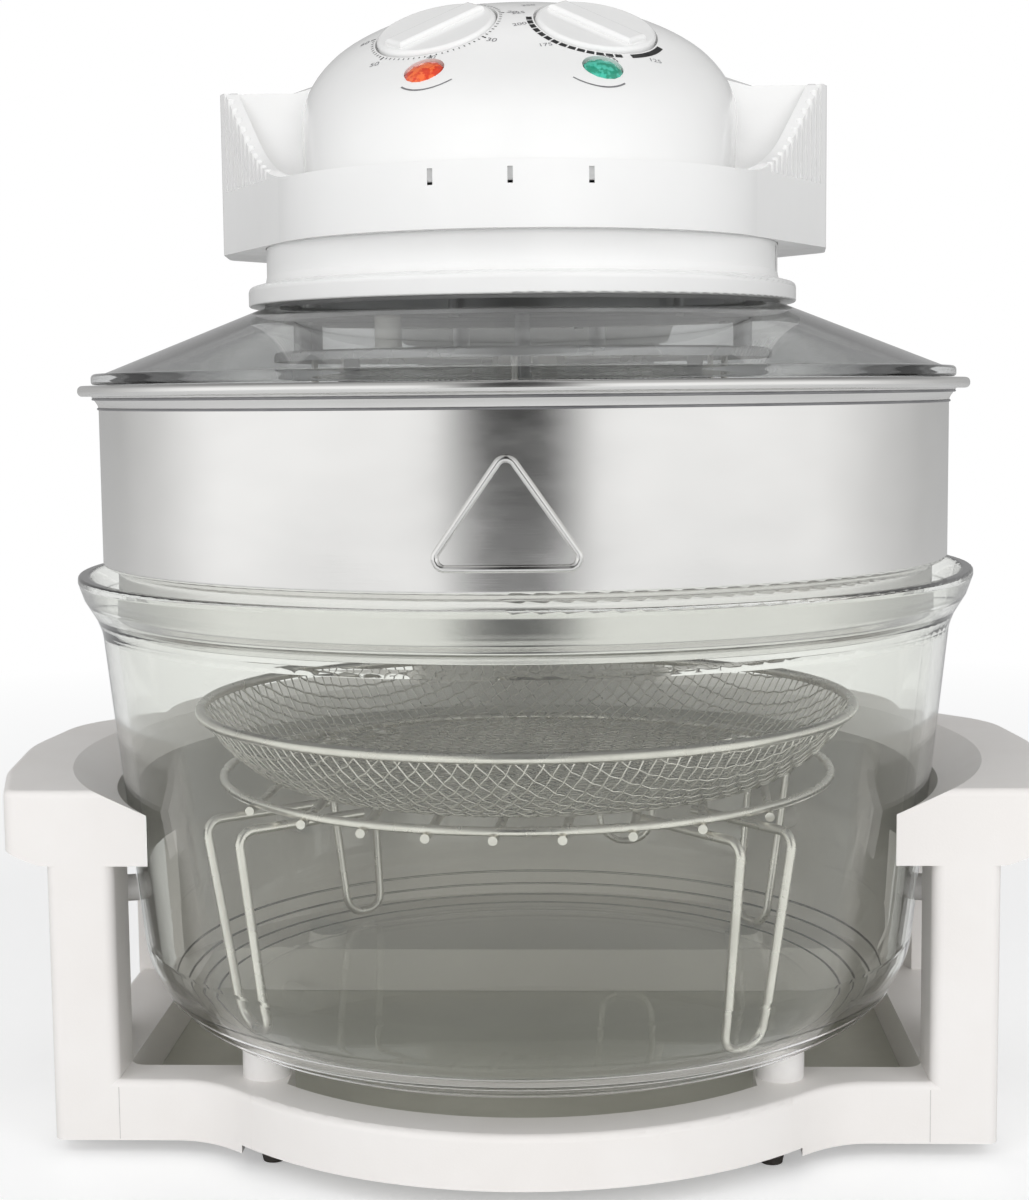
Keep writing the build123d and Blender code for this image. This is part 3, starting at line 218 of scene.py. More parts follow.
def glasses():
    """Bowl, lid and tube glass, and the coloured lenses."""
    bowl = Shader("clear bowl glass", (0.915, 0.925, 0.895), Roughness=0.0, Transmission_Weight=1.0, IOR=1.47)
    lid = Shader("lid glass", (0.64, 0.65, 0.65), Roughness=0.0, Transmission_Weight=1.0, IOR=1.02,
                 Coat_Weight=1.0, Coat_Roughness=0.02, Coat_IOR=1.5)
    quartz = Shader("quartz tube", (0.93, 0.95, 0.96), Roughness=0.05, Transmission_Weight=1.0, IOR=1.46)
    # the brighter orange patches mottled into the red lens are painted glints of light in its facets
    red = Shader("red lens", (0.72, 0.045, 0.008), Roughness=0.1, Coat_Weight=0.6)
    red.mottle((0.95, 0.17, 0.04), 330, (1, 1, 1), 0.45, 0.55)
    # the brighter green patches mottled into the green lens are painted glints of light in its facets
    green = Shader("green lens", (0.008, 0.30, 0.19), Roughness=0.1, Coat_Weight=0.6)
    green.mottle((0.07, 0.56, 0.42), 330, (1, 1, 1), 0.45, 0.55)
    bowl.let_light_in((0.98, 0.98, 0.97))
    lid.let_light_in((0.75, 0.76, 0.76))
    quartz.let_light_in((0.95, 0.95, 0.95))
    return {"clear_glass": bowl, "lid_glass": lid, "tube_glass": quartz, "red_lens": red, "green_lens": green}


def small_finishes():
    """Ceramic, print, parting lines and shutters."""
    ceramic = Shader("ceramic", (0.86, 0.84, 0.79), Roughness=0.55).mottle((0.80, 0.78, 0.72), 90)
    thin = Shader("grey print", (0.16, 0.16, 0.17), Roughness=0.5).mottle((0.24, 0.24, 0.25), 300)
    black = Shader("black print", (0.012, 0.012, 0.014), Roughness=0.45).mottle((0.03, 0.03, 0.03), 300)
    seam = Shader("parting line", (0.62, 0.60, 0.58), Roughness=0.7).mottle((0.72, 0.70, 0.68), 120)
    dark = Shader("dark parting line", (0.10, 0.10, 0.10), Roughness=0.8).mottle((0.16, 0.16, 0.16), 200)
    shutter = Shader("slot shutter", (0.62, 0.62, 0.62), Roughness=0.6).mottle((0.52, 0.52, 0.52), 200)
    return {"ceramic": ceramic, "print": thin, "print_black": black, "seam": seam, "seam_dark": dark,
            "shutter": shutter}


def make_materials():
    """Materials by the name of their record slot or, for trim, by a name of their own."""
    shaders = {**plastics(), **metals(), **glasses(), **small_finishes()}
    return {key: shader.material for key, shader in shaders.items()}


MATERIALS = make_materials()


def dress_nodes():
    """Give every CAD node the material of its record slot."""
    slot_of = {part["node"]: part["material_slot"] for part in frame["record"]["subparts"]}
    for name, obj in NODES.items():
        material = MATERIALS[slot_of[name]]
        if not obj.material_slots:
            obj.data.materials.append(material)
        for slot in obj.material_slots:
            slot.material = material


# ---------------------------------------------------------------- mesh helpers
def piece(name, verts, faces, material, body, smooth=True):
    """A mesh piece in the row's frame that rides on a body and takes a record slot."""
    mesh = bpy.data.meshes.new(name)
    mesh.from_pydata([tuple(v) for v in verts], [], faces)
    mesh.validate()
    mesh.materials.append(MATERIALS[material])
    mesh.polygons.foreach_set("use_smooth", [smooth] * len(mesh.polygons))
    obj = bpy.data.objects.new(name, mesh)
    bpy.context.scene.collection.objects.link(obj)
    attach(obj, body)
    return obj


def tubes(paths, radius, sides=8, closed=False):
    """Vertices and faces of round wires along lists of points, all in metres."""
    verts, faces = [], []
    for path in paths:
        points = np.asarray(path, float)
        count = len(points)
        if closed:
            tangents = np.roll(points, -1, 0) - np.roll(points, 1, 0)
        else:
            tangents = np.gradient(points, axis=0)
        tangents /= np.linalg.norm(tangents, axis=1)[:, None]
        side = np.cross(tangents[0], (0, 0, 1))
        if np.linalg.norm(side) < 1e-6:     # the wire starts straight up or down
            side = np.array((1.0, 0, 0))
        base = len(verts)
        for i in range(count):
            side = side - tangents[i] * np.dot(side, tangents[i])
            side /= np.linalg.norm(side)
            up = np.cross(side, tangents[i])
            for k in range(sides):
                angle = 2 * math.pi * k / sides
                verts.append(points[i] + radius * (math.cos(angle) * side + math.sin(angle) * up))
        runs = count if closed else count - 1
        for i in range(runs):
            a, b = base + i * sides, base + ((i + 1) % count) * sides
            for k in range(sides):
                n = (k + 1) % sides
                faces.append((a + k, a + n, b + n, b + k))
        if not closed:
            faces.append(tuple(base + k for k in range(sides))[::-1])
            faces.append(tuple(base + (count - 1) * sides + k for k in range(sides)))
    return verts, faces


def circle(radius, z, count=192):
    """Points of a level circle about the bowl axis."""
    angles = np.linspace(0, 2 * math.pi, count, endpoint=False)
    return [at(radius * math.cos(a), radius * math.sin(a), z) for a in angles]


def ladder(rungs):
    """Faces of a strip whose vertices come in pairs, one pair per rung."""
    return [(2 * k, 2 * k + 1, 2 * k + 3, 2 * k + 2) for k in range(rungs - 1)]


def surface(name):
    """Search tree of a CAD node's mesh."""
    mesh = NODES[name].data
    return BVHTree.FromPolygons([v.co for v in mesh.vertices], [tuple(p.vertices) for p in mesh.polygons])


# ---------------------------------------------------------------- woven wire basket
MESH_PITCH = 4.3
MESH_WIRE_R = 0.36
MESH_WEAVE = 0.34           # how far a wire rises and falls from its middle level
MESH_TURN = math.radians(38)
BASKET_RIM_WIRE_R = 2.0
BASKET_RIM_POINTS = 160
# Radius and level of the pan, from its flat bottom out to the rim.
BASKET_PROFILE = [(0, 124.3), (90, 124.3), (96, 124.9), (101, 126.4), (106, 129.2), (111, 132.8),
                  (116, 137.2), (120, 141.6), (123.5, 146.0), (126.3, 150.7)]


def basket_z(radius):
    """Level of the basket's wires at a radius."""
    return np.interp(radius, [p[0] for p in BASKET_PROFILE], [p[1] for p in BASKET_PROFILE])


def woven_wire(number, family, rim_r, count):
    """One wire from rim to rim, over and under the other family; numbers run from -count to count."""
    turn = MESH_TURN + family * math.pi / 2
    direction = np.array((math.cos(turn), math.sin(turn)))
    middle = np.array((-math.sin(turn), math.cos(turn))) * number * MESH_PITCH
    half = math.sqrt(rim_r ** 2 - (number * MESH_PITCH) ** 2)
    crossings = [k for k in range(-count, count + 1) if abs(k * MESH_PITCH) < half]
    woven = [(k * MESH_PITCH, -MESH_WEAVE if (number + k + family) % 2 else MESH_WEAVE) for k in crossings]
    path = []
    for distance, lift in [(-half, 0), *woven, (half, 0)]:
        x, y = middle + direction * distance
        path.append(at(x, y, basket_z(np.hypot(x, y)) + lift))
    return path


def make_basket():
    """Plain-woven mesh pressed into the pan's shape, with its rim wire."""
    rim_r = BASKET_R - BASKET_RIM_WIRE_R
    count = math.ceil(rim_r / MESH_PITCH) - 1
    paths = [woven_wire(number, family, rim_r, count)
             for family in (0, 1) for number in range(-count, count + 1)]
    verts, faces = tubes(paths, MESH_WIRE_R / 1000, sides=4)
    woven = piece("basket_mesh", verts, faces, "chrome_wire", "basket")
    verts, faces = tubes([circle(rim_r, BASKET_RIM_Z, BASKET_RIM_POINTS)], BASKET_RIM_WIRE_R / 1000,
                         sides=12, closed=True)
    piece("basket_rim", verts, faces, "chrome_wire", "basket")
    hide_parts("basket")


# ---------------------------------------------------------------- print on the dome
DIAL_MARK_R = 23.4          # where the dial scales start
TIMER_MINUTES = 60
TIMER_EVERY = 10            # minutes from one number to the next
TIMER_STEP = 50.0           # degrees from one number to the next
TIMER_MARK = (40, -74.0)    # one of the numbers, and the angle where it stands
# Numbers of the heat scale and the angles where they stand.
HEAT_MARKS = {"125": -58.0, "150": -96.0, "175": -146.0, "200": 178.0, "225": 156.0, "250": 133.0}
HEAT_BAND = (-195.0, -34.0)     # angles between which the band runs
HEAT_SOLID = -76.0          # the band is unbroken from here on
LONG_TICK, SHORT_TICK = (1.9, 0.55), (1.0, 0.42)      # length, width
HEAT_BLOCK = (6.4, 8.0)     # degrees that a block of the broken band takes, and from one to the next
HEAT_BLOCK_W, HEAT_SOLID_W = 2.0, 2.2
TIMER_DIGITS, HEAT_DIGITS = (3.4, 4.6), (3.0, 5.0)    # size, distance beyond the scale's start
DIGIT_STRETCH = 1.15
LAMP_ARC = ((38.6, -71.4), (30.6, -76.6), (20.8, -75.6))
LAMP_ARC_HALF_W = 0.28
PRINT_LIFT = 0.00008        # metres that print stands proud
RAY_BACK = 0.05             # metres that a ray starts back from its point
OVER_DIAL = 0.02            # metres over the dial's pivot at which its scale is laid out


def dial_frame(joint_name):
    """Centre, right, up and outward directions of a dial, in metres."""
    joint = next(j for j in frame["record"]["behaviour"]["joints"] if j["name"] == joint_name)
    outward = -Vector(joint["axis"]).normalized()
    right = Vector((0, 0, 1)).cross(outward).normalized()
    return Vector(joint["pos_m"]), right, outward.cross(right), outward


def pressed_on(tree, points, direction, lift=PRINT_LIFT):
    """Drop points along a direction onto a surface, just proud of it."""
    placed = []
    for point in points:
        hit = tree.ray_cast(point - direction * RAY_BACK, direction)[0]
        placed.append((hit if hit is not None else tree.find_nearest(point)[0]) - direction * lift)
    return placed


def flat_text(text, size):
    """Triangles of a line of digits about the origin, in millimetres."""
    curve = bpy.data.curves.new("digits", "FONT")
    curve.body, curve.size = text, size
    curve.align_x, curve.align_y = "CENTER", "CENTER"
    obj = bpy.data.objects.new("digits", curve)
    bpy.context.scene.collection.objects.link(obj)
    bpy.context.view_layer.update()
    mesh = bpy.data.meshes.new_from_object(obj.evaluated_get(bpy.context.evaluated_depsgraph_get()))
    verts, faces = [tuple(v.co)[:2] for v in mesh.vertices], [tuple(p.vertices) for p in mesh.polygons]
    bpy.data.objects.remove(obj)
    bpy.data.curves.remove(curve)
    bpy.data.meshes.remove(mesh)
    return verts, faces


def ring_strip(inner, outer, start, stop, step=3.0):
    """Flat strip between two radii and two angles, as vertices and faces in millimetres."""
    count = max(int(abs(stop - start) / step), 1) + 1
    verts = []
    for a in np.radians(np.linspace(start, stop, count)):
        verts += [(r * math.cos(a), r * math.sin(a)) for r in (inner, outer)]
    return verts, ladder(count)


def merged(parts):
    """One list of vertices and one of faces from several."""
    verts, faces = [], []
    for part_verts, part_faces in parts:
        faces += [tuple(i + len(verts) for i in face) for face in part_faces]
        verts += part_verts
    return verts, faces


def digits_at(text, style, degrees):
    """A number upright beside the scale, at an angle."""
    size, distance = style
    radius = DIAL_MARK_R + distance
    a = math.radians(degrees)
    verts, faces = flat_text(text, size)
    return [(x * DIGIT_STRETCH + radius * math.cos(a), y + radius * math.sin(a)) for x, y in verts], faces


def printed(name, joint_name, parts, material):
    """Print laid out flat about a dial and pressed on the dome."""
    centre, right, up, outward = dial_frame(joint_name)
    verts, faces = merged(parts)
    points = [centre + (right * x + up * y) / 1000 + outward * OVER_DIAL for x, y in verts]
    piece(name, pressed_on(surface("control_dome"), points, -outward), faces, material, "lid",
          smooth=False)


def make_dial_scales():
    """Ticks and numbers of the timer, and band and numbers of the thermostat."""
    ticks, digits = [], []
    marked, marked_at = TIMER_MARK
    for minute in range(TIMER_MINUTES + 1):
        angle = marked_at + (marked - minute) * TIMER_STEP / TIMER_EVERY
        numbered = minute % TIMER_EVERY == 0
        length, width = LONG_TICK if numbered else SHORT_TICK
        spread = math.degrees(width / DIAL_MARK_R) / 2
        ticks.append(ring_strip(DIAL_MARK_R, DIAL_MARK_R + length, angle - spread, angle + spread))
        if numbered:
            digits.append(digits_at(str(minute), TIMER_DIGITS, angle))
    printed("timer_ticks", "timer_turn", ticks, "print_black")
    printed("timer_digits", "timer_turn", digits, "print")
    start, stop = HEAT_BAND
    block, pitch = HEAT_BLOCK
    band = [ring_strip(DIAL_MARK_R, DIAL_MARK_R + HEAT_BLOCK_W, angle, angle + block)
            for angle in np.arange(start, HEAT_SOLID - pitch, pitch)]
    band.append(ring_strip(DIAL_MARK_R, DIAL_MARK_R + HEAT_SOLID_W, HEAT_SOLID, stop))
    printed("heat_band", "thermostat_turn", band, "print_black")
    printed("heat_digits", "thermostat_turn",
            [digits_at(text, HEAT_DIGITS, angle) for text, angle in HEAT_MARKS.items()], "print")


def arc_through(a, b, c, count=24):
    """Centre, radius and angles of the arc through three plan points."""
    (ax, ay), (bx, by), (cx, cy) = a, b, c
    d = 2 * (ax * (by - cy) + bx * (cy - ay) + cx * (ay - by))
    a2, b2, c2 = ax * ax + ay * ay, bx * bx + by * by, cx * cx + cy * cy
    x = (a2 * (by - cy) + b2 * (cy - ay) + c2 * (ay - by)) / d
    y = (a2 * (cx - bx) + b2 * (ax - cx) + c2 * (bx - ax)) / d
    radius = math.hypot(ax - x, ay - y)
    first, last = math.atan2(ay - y, ax - x), math.atan2(cy - y, cx - x)
    return (x, y), radius, np.linspace(first, last, count)


def make_lamp_arcs():
    """Thin printed arcs under the two lamps."""
    tree, down = surface("control_dome"), Vector((0, 0, -1))
    (x, y), radius, angles = arc_through(*LAMP_ARC)
    radii = (radius - LAMP_ARC_HALF_W, radius + LAMP_ARC_HALF_W)
    for side, name in ((-1, "power_arc"), (1, "heat_arc")):
        verts = [at(side * (x + r * math.cos(a)), y + r * math.sin(a), ABOVE_HEAD)
                 for a in angles for r in radii]
        piece(name, pressed_on(tree, verts, down), ladder(len(angles)), "print", "lid",
              smooth=False)


# ---------------------------------------------------------------- lenses
LENS_FACETS = 14
LENS_PROBE = 11.0           # the dome's slope is taken this far from the lens's middle
# Share of the lens's radius, height over the dome, and turn in facets.
LENS_STEPS = ((1.0, -1.2, 0), (1.0, 0.8, 0), (0.86, 1.9, 0), (0.55, 2.7, 0.5), (0.22, 3.0, 0))


def dome_frame(x, y):
    """Place on the dome at a plan point, with the right, up and outward directions there."""
    probes = [at(x + dx * LENS_PROBE, y + dy * LENS_PROBE, ABOVE_HEAD)
              for dx, dy in ((1, 0), (-1, 0), (0, 1), (0, -1))]
    spots = pressed_on(surface("control_dome"), probes, Vector((0, 0, -1)), 0)
    outward = (spots[0] - spots[1]).cross(spots[2] - spots[3]).normalized()
    right = Vector((0, 0, 1)).cross(outward).normalized()
    return sum(spots, Vector()) / len(spots), right, outward.cross(right), outward


def facets(step, turned):
    """Faces from the step before up to this one: three-sided where the steps are turned apart."""
    faces = []
    low, high = (step - 1) * LENS_FACETS, step * LENS_FACETS
    for k in range(LENS_FACETS):
        n = (k + 1) % LENS_FACETS
        if turned > 0:
            faces += [(low + k, low + n, high + k), (low + n, high + n, high + k)]
        elif turned < 0:
            faces += [(low + k, high + n, high + k), (low + k, low + n, high + n)]
        else:
            faces.append((low + k, low + n, high + n, high + k))
    return faces


def make_lens(name, node_name, slot):
    """Faceted jewel lens over its bezel, where the plain lens is."""
    x = LAMP_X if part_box(node_name)[0][0] > 0 else -LAMP_X
    base, right, up, outward = dome_frame(x, LAMP_Y)
    verts, faces = [], []
    for step, (share, height, turn) in enumerate(LENS_STEPS):
        for k in range(LENS_FACETS):
            a = 2 * math.pi * (k + turn) / LENS_FACETS
            spot = (right * math.cos(a) + up * math.sin(a)) * (LAMP_R * share) + outward * height
            verts.append(base + spot / 1000)
        if step:
            faces += facets(step, turn - LENS_STEPS[step - 1][2])
    faces.append(tuple(range(len(verts) - LENS_FACETS, len(verts))))
    made = piece(name, verts, faces, slot, "lid", smooth=False)
    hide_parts(node_name)


# ---------------------------------------------------------------- steel ring
TRIANGLE = ((0.0, 252.5), (25.5, 216.0), (-25.5, 216.0))   # arc length from the front, height
TRIANGLE_CORNER_R = 3.2
TRIANGLE_STEP = 3.0         # about the run between points on its straight sides
FRAME_BEAD_R, FRAME_PROUD = 1.25, 0.1
RIM_FOLDS_AND_SHADE = (1.0, 4.6)      # distances below the rolled rim; the dark folds there also paint the shade under the bead
FOLD_R, FOLD_PROUD = 0.45, 0.15


def rounded_loop(corners, radius, per_corner=8):
    """Points of a closed outline with round corners."""
    loop = []
    count = len(corners)
    for i in range(count):
        before, here, after = (Vector(corners[(i + k) % count]) for k in (-1, 0, 1))
        a, b = (before - here).normalized(), (after - here).normalized()
        half = a.angle(b) / 2
        centre = here + (a + b).normalized() * (radius / math.sin(half))
        first = here + a * (radius / math.tan(half)) - centre
        last = here + b * (radius / math.tan(half)) - centre
        for k in range(per_corner):
            way = first.lerp(last, k / (per_corner - 1)).normalized() * radius
            loop.append(centre + way)
    return loop


def along(loop, step):
    """The same closed outline with its long sides split into runs of about a step."""
    points = []
    for a, b in zip(loop, loop[1:] + loop[:1]):
        parts = max(int((b - a).length / step), 1)
        points += [a.lerp(b, k / parts) for k in range(parts)]
    return points


def wrap(point, radius):
    """Bend a flat point (arc length, height) round the ring."""
    a = point[0] / RING_R
    return at(radius * math.sin(a), -radius * math.cos(a), point[1])


def make_triangle():
    """Plain pressed triangle on the front of the ring: a bare frame with round corners."""
    outline = along(rounded_loop(TRIANGLE, TRIANGLE_CORNER_R), TRIANGLE_STEP)
    path = [wrap(point, RING_R + FRAME_PROUD) for point in outline]
    verts, faces = tubes([path], FRAME_BEAD_R / 1000, sides=12, closed=True)
    piece("pressed_frame", verts, faces, "brushed_steel", "stand")


def make_rim_folds():
    """Thin fold ridges under the bead of the steel ring, in dark steel that paints the shade under the bead.
    """
    tree = surface("extender_ring")
    rings = []
    for below in RIM_FOLDS_AND_SHADE:
        spot = tree.ray_cast(at(-FAR_OFF, 0, BEAD_LOW - below), Vector((1, 0, 0)))[0]
        rings.append(circle(abs(spot.x) * 1000 + FOLD_PROUD, BEAD_LOW - below))
    verts, faces = tubes(rings, FOLD_R / 1000, sides=8, closed=True)
    # the dark motor steel on these folds is painted shade under the rolled bead
    piece("rim_folds_and_shade", verts, faces, "motor_steel", "stand")


# ---------------------------------------------------------------- bowl
GLASS_RIDGES = (124.0, 130.5, 136.5, 141.5)     # radii
RIDGE_R, RIDGE_SUNK = 0.5, 0.1


def make_glass_ridges():
    """Moulded ridges round the foot of the bowl."""
    tree = surface("glass_bowl")
    rings = []
    for radius in GLASS_RIDGES:
        z = tree.ray_cast(at(radius, 0, -FAR_OFF), Vector((0, 0, 1)))[0].z
        rings.append(circle(radius, z * 1000 + RIDGE_SUNK))
    verts, faces = tubes(rings, RIDGE_R / 1000, sides=10, closed=True)
    piece("glass_ridges", verts, faces, "clear_glass", "stand")


# ---------------------------------------------------------------- stand
BLEND_L = 25.0              # length of the blend beside the bow
BULGE_LAP = 4.0             # how far the blend runs on over the bow
BLEND_BACK = 3.5            # how far it reaches into the rail
BLEND_PROUD = 0.03
BLEND_STEPS, LAP_STEPS, EDGE_STEPS = 12, 3, 6
BLEND_SHARP = math.radians(35)
SEAM_LEVELS = (FOOT_LEVEL + 0.6, 12, 19, RAIL_LEVEL - 2.4)
SEAM_HALF_W, SEAM_PROUD = 0.16, 0.04


def blend_stations():
    """Along the blend: x, depth of its front face, and level of its foot."""
    depth = math.sqrt(BULGE_R ** 2 - BULGE_X ** 2) + STAND_FRONT
    stations = []
    for k in range(BLEND_STEPS + 1):
        share = k / BLEND_STEPS
        stations.append((BULGE_X + BLEND_L * (1 - share), STAND_FRONT - depth * share ** 2, FOOT_LEVEL))
    for k in range(LAP_STEPS + 1):
        x = BULGE_X - BULGE_LAP * k / LAP_STEPS
        stations.append((x, -math.sqrt(BULGE_R ** 2 - x ** 2), FOOT_LEVEL + NOTCH))
    return stations


def blend_section(front, low):
    """Outline (y, z) of the blend: over its round top edge and down to its foot."""
    top, back = RAIL_LEVEL + BLEND_PROUD, STAND_FRONT + BLEND_BACK
    section = [(back, top)]
    for k in range(EDGE_STEPS + 1):
        a = math.pi / 2 * k / EDGE_STEPS
        section.append((front + RAIL_EDGE_R * (1 - math.sin(a)), top - RAIL_EDGE_R * (1 - math.cos(a))))
    return section + [(front, low), (back, low)]


def make_front_blends():
    """Hollow blends that carry the bowed front rail into the flat front of the legs."""
    stations = blend_stations()
    for side, name in ((-1, "front_blend_left"), (1, "front_blend_right")):
        verts, faces = [], []
        for x, front, low in stations:
            section = blend_section(front - BLEND_PROUD, low)
            verts += [at(side * x, y, z) for y, z in section]
        count = len(section)
        for i in range(len(stations) - 1):
            a, b = i * count, (i + 1) * count
            foot_step = stations[i][0] == stations[i + 1][0]
            for k in range(count - 1):
                if not foot_step or k == count - 2:
                    faces.append((a + k, a + k + 1, b + k + 1, b + k))
        faces.append(tuple(range(count)))
        faces.append(tuple(range(len(verts) - 1, len(verts) - count - 1, -1)))
        made = piece(name, verts, faces, "white_stand", "stand")
        made.data.set_sharp_from_angle(angle=BLEND_SHARP)


def make_leg_seams():
    """Fine parting lines where the legs meet the front rail."""
    for side, name in ((-1, "leg_seam_left"), (1, "leg_seam_right")):
        x, y = side * LEG_INSIDE, STAND_FRONT - SEAM_PROUD
        verts = [at(x + dx, y, z) for z in SEAM_LEVELS for dx in (-SEAM_HALF_W, SEAM_HALF_W)]
        piece(name, verts, ladder(len(SEAM_LEVELS)), "seam", "stand", smooth=False)


# ---------------------------------------------------------------- head
SHUTTER_RIMS = ((1.1, 1.5), (1.4, 1.1), (3.0, 1.1))    # depth in the slot, distance over its foot
SHUTTER_OVER = 0.1          # the shutter ends this much above the slot's top
BELOW_SLOT = 3.0            # the head's face is found this much below the slot
NECK_SEAM_LEVELS = np.linspace(313.5, 323.5, 6)
NECK_SEAM_HALF, NECK_SEAM_PROUD = 0.22, 0.06           # degrees, millimetres


def make_slot_linings():
    """Pale shutters a little way inside the three front slots, open at the foot."""
    tree = surface("head_housing")
    high = SLOT_TOP + SHUTTER_OVER
    faces = [(3, 2, 1, 0), (8, 9, 10, 11)]
    for low in (0, 4):
        faces += [(low + k, low + (k + 1) % 4, low + 4 + (k + 1) % 4, low + 4 + k) for k in range(4)]
    for number, x in enumerate(SLOT_XS, 1):
        front = tree.ray_cast(at(x, -FAR_OFF, SLOT_FOOT - BELOW_SLOT), Vector((0, 1, 0)))[0].y
        verts = []
        for depth, over_foot in SHUTTER_RIMS:
            low = SLOT_FOOT + over_foot
            for dx, z in ((-SLOT_HALF_W, low), (SLOT_HALF_W, low), (SLOT_HALF_W, high), (-SLOT_HALF_W, high)):
                corner = at(x + dx, 0, z)
                corner.y = front + depth / 1000
                verts.append(corner)
        piece(f"slot_lining_{number}", verts, faces, "shutter", "lid", smooth=False)


def make_neck_seam():
    """Dark parting line in the groove of the neck."""
    radius = NECK_R + NECK_SEAM_PROUD
    angles = [math.radians(NECK_SEAM_AT + turn) for turn in (-NECK_SEAM_HALF, NECK_SEAM_HALF)]
    verts = [at(radius * math.cos(a), radius * math.sin(a), z) for z in NECK_SEAM_LEVELS for a in angles]
    piece("neck_seam", verts, ladder(len(NECK_SEAM_LEVELS)), "seam_dark", "lid",
          smooth=False)


# ---------------------------------------------------------------- heater filament
FILAMENT_TURNS, POINTS_PER_TURN = 170, 8
FILAMENT_FROM, FILAMENT_TO = math.radians(104), math.radians(436)
COIL_R, COIL_WIRE_R = 0.0012, 0.00022       # metres


def make_filament():
    """Coiled filament along the middle of the halogen tube."""
    (low_x, _, low_z), (high_x, _, high_z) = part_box("halogen_tube")
    middle_z, tube_r = (low_z + high_z) / 2, (high_z - low_z) / 2
    ring_r = (high_x - low_x) / 2 - tube_r
    points, count = [], FILAMENT_TURNS * POINTS_PER_TURN
    for i in range(count + 1):
        way = FILAMENT_FROM + (FILAMENT_TO - FILAMENT_FROM) * i / count
        coil = 2 * math.pi * i / POINTS_PER_TURN
        r = ring_r + COIL_R * math.cos(coil)
        z = middle_z + COIL_R * math.sin(coil)
        points.append(Vector((r * math.cos(way), r * math.sin(way) - ORIGIN_Y / 1000, z)))
    verts, faces = tubes([points], COIL_WIRE_R, sides=4)
    piece("tube_filament", verts, faces, "filament", "lid")


# ---------------------------------------------------------------- studio
# The studio that metal mirrors: azimuth, from in front of the oven (0) to behind it (1), and brightness.
STUDIO = ((0.0, 0.025), (0.04, 0.05), (0.075, 0.42), (0.115, 0.92), (0.16, 1.0), (0.46, 1.0), (0.51, 0.90),
          (0.60, 0.68), (0.72, 0.50), (1.0, 0.40))
OVERHEAD = (1.0, 0.5, 0.18, 0.75)   # it darkens from one to the other between these heights
LOW_GLOW, LOW_LIGHT = 0.8, 2.2      # what it turns to below the horizon, and how fast
LOW_COLOR = (LOW_GLOW, LOW_GLOW, LOW_GLOW, 1)
FILL = (0.60, 0.60, 0.60, 1)
WHITE = (1, 1, 1, 1)


def mixed(nodes, factor, first, second, **settings):
    """Colour mix of two sockets or plain colours."""
    mix = nodes.add("ShaderNodeMix", data_type="RGBA", **settings)
    for key, source in {"Factor": factor, "A": first, "B": second}.items():
        if isinstance(source, (tuple, float)):
            mix.inputs[key].default_value = source
        else:
            nodes.link(source, mix.inputs[key])
    return mix.outputs["Result"]


def mirrored_studio(nodes):
    """Colour of the studio that metal mirrors."""
    coord, split = nodes.add("ShaderNodeTexCoord"), nodes.add("ShaderNodeSeparateXYZ")
    nodes.link(coord.outputs["Generated"], split.inputs[0])
    azimuth = nodes.maths("ARCTAN2", split.outputs["X"], nodes.maths("MULTIPLY", split.outputs["Y"], -1.0))
    ramp = nodes.add("ShaderNodeValToRGB")
    for position, _ in STUDIO[1:-1]:
        ramp.color_ramp.elements.new(position)
    for element, (position, value) in zip(ramp.color_ramp.elements, STUDIO):
        element.position = position
        element.color = (value, value, value, 1)
    nodes.link(nodes.maths("DIVIDE", nodes.maths("ABSOLUTE", azimuth), math.pi), ramp.inputs[0])
    below = nodes.maths("MAXIMUM", nodes.maths("MULTIPLY", split.outputs["Z"], -LOW_LIGHT), 0.0)
    lifted = mixed(nodes, below, ramp.outputs["Color"], LOW_COLOR)
    return mixed(nodes, 1.0, lifted, nodes.spread(split.outputs["Z"], *OVERHEAD), blend_type="MULTIPLY")


def make_world():
    """White for the camera and through glass, a studio for metal, even light for the rest."""
    world = bpy.data.worlds.new("studio")
    bpy.context.scene.world = world
    world.use_nodes = True
    world.node_tree.nodes.clear()
    nodes = Wiring(world.node_tree)
    path = nodes.add("ShaderNodeLightPath")
    scattered = nodes.maths("MINIMUM", path.outputs["Diffuse Depth"], 1.0)
    mirrored = nodes.maths("MINIMUM", path.outputs["Glossy Depth"], 1.0)
    shine = nodes.maths("MULTIPLY", mirrored, nodes.maths("SUBTRACT", 1.0, scattered))
    lit = mixed(nodes, shine, FILL, mirrored_studio(nodes))
    seen = nodes.maths("MAXIMUM", path.outputs["Is Camera Ray"], path.outputs["Is Transmission Ray"])
    plain = nodes.maths("MULTIPLY", seen, nodes.maths("SUBTRACT", 1.0, mirrored))
    background, output = nodes.add("ShaderNodeBackground"), nodes.add("ShaderNodeOutputWorld")
    nodes.link(mixed(nodes, plain, lit, WHITE), background.inputs["Color"])
    nodes.link(background.outputs[0], output.inputs[0])


FLOOR_HALF, FLOOR_Z = 1.6, -0.0002
FLOOR_GLOW = 0.31
FLOOR_FADE = (0.42, 1.25)   # metres from the object over which the floor turns plain white


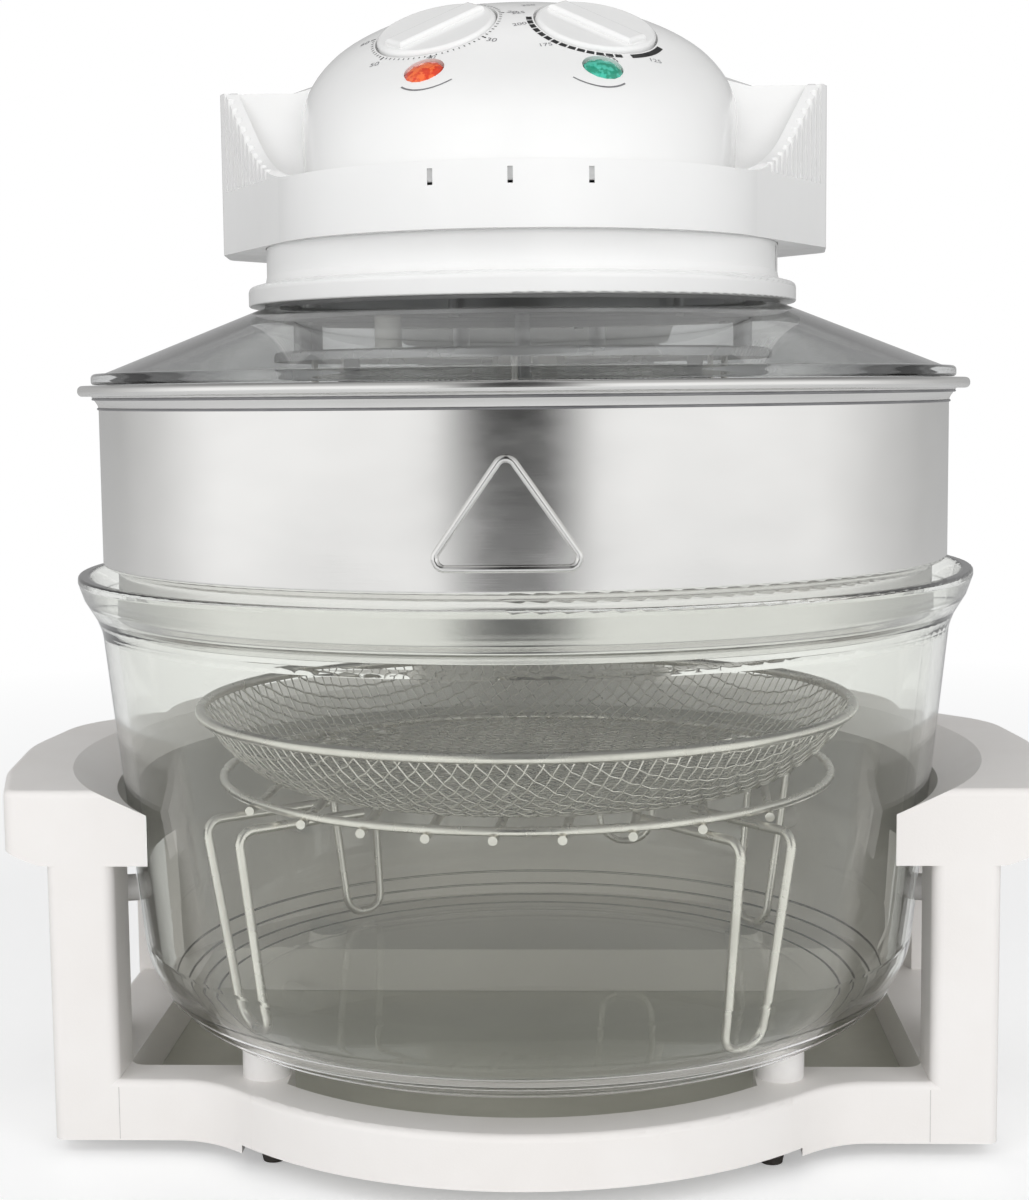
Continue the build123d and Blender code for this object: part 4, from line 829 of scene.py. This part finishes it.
def make_floor():
    """Pale floor that keeps the object's shadow and turns into the white background further out."""
    floor = Shader("floor", (0.86, 0.865, 0.87), Roughness=0.5).mottle((0.84, 0.845, 0.85), 2)
    path = floor.add("ShaderNodeLightPath")
    seen = floor.maths("MAXIMUM", path.outputs["Is Camera Ray"], path.outputs["Is Transmission Ray"])
    coord, reach = floor.add("ShaderNodeTexCoord"), floor.add("ShaderNodeVectorMath", operation="LENGTH")
    floor.link(coord.outputs["Object"], reach.inputs[0])
    fade = floor.maths("MULTIPLY", seen, floor.spread(reach.outputs["Value"], 0.0, 1.0, *FLOOR_FADE))
    near, far = (floor.add("ShaderNodeEmission") for _ in range(2))
    floor.link(floor.spread(seen, 0.0, FLOOR_GLOW, 0.0, 1.0), near.inputs["Strength"])
    total, faded = floor.add("ShaderNodeAddShader"), floor.add("ShaderNodeMixShader")
    for source, target in (
            (floor.bsdf.outputs[0], total.inputs[0]), (near.outputs[0], total.inputs[1]),
            (fade, faded.inputs[0]), (total.outputs[0], faded.inputs[1]), (far.outputs[0], faded.inputs[2]),
            (faded.outputs[0], floor.tree.nodes["Material Output"].inputs["Surface"])):
        floor.link(source, target)
    mesh = bpy.data.meshes.new("floor")
    corners = ((-1, -1), (1, -1), (1, 1), (-1, 1))
    mesh.from_pydata([(x * FLOOR_HALF, y * FLOOR_HALF, FLOOR_Z) for x, y in corners], [], [(0, 1, 2, 3)])
    mesh.materials.append(floor.material)
    obj = bpy.data.objects.new("floor", mesh)
    bpy.context.scene.collection.objects.link(obj)


# Lamps: name, place, aim, size, power.
LAMPS = (
    ("key left", (-0.95, -1.15, 1.6), (0, 0, 0.2), 1.2, 5.0),
    ("key right", (1.05, -1.05, 1.5), (0, 0, 0.2), 1.2, 4.5),
    ("front", (0.15, -2.6, 0.5), (0, 0, 0.15), 1.6, 22),
)


def make_lamps():
    """Soft round lamps that metal and glass don't show."""
    for name, place, aim, size, power in LAMPS:
        light = bpy.data.lights.new(name, "AREA")
        light.shape, light.size, light.energy = "DISK", size, power
        obj = bpy.data.objects.new(name, light)
        obj.visible_glossy = False
        obj.visible_transmission = False
        turn = (Vector(aim) - Vector(place)).to_track_quat("-Z", "Y").to_matrix().to_4x4()
        obj.matrix_world = Matrix.Translation(place) @ turn
        bpy.context.scene.collection.objects.link(obj)


CAMERA_AT = (27.05, -774.53, RIM_Z + 67)
CAMERA_PAN, CAMERA_TILT, CAMERA_ROLL = 2.31, 84, -0.6      # degrees
CAMERA_SENSOR, CAMERA_LENS = 36, 60


def make_camera():
    """The photograph's viewpoint."""
    camera = bpy.data.cameras.new("camera")
    camera.sensor_fit, camera.sensor_width, camera.lens = "AUTO", CAMERA_SENSOR, CAMERA_LENS
    obj = bpy.data.objects.new("camera", camera)
    pan, tilt, roll = (Matrix.Rotation(math.radians(angle), 4, axis) for angle, axis in (
        (CAMERA_PAN, "Z"), (CAMERA_TILT, "X"), (CAMERA_ROLL, "Z")))
    obj.matrix_world = Matrix.Translation(at(*CAMERA_AT)) @ pan @ tilt @ roll
    bpy.context.scene.collection.objects.link(obj)
    bpy.context.scene.camera = obj


dress_nodes()
make_basket()
make_dial_scales()
make_lamp_arcs()
make_lens("power_jewel", "power_lens", "red_lens")
make_lens("heat_jewel", "heat_lens", "green_lens")
make_triangle()
make_rim_folds()
make_glass_ridges()
make_front_blends()
make_leg_seams()
make_slot_linings()
make_neck_seam()
make_filament()
make_world()
make_floor()
make_lamps()
make_camera()
bpy.context.scene.view_settings.view_transform = "Standard"
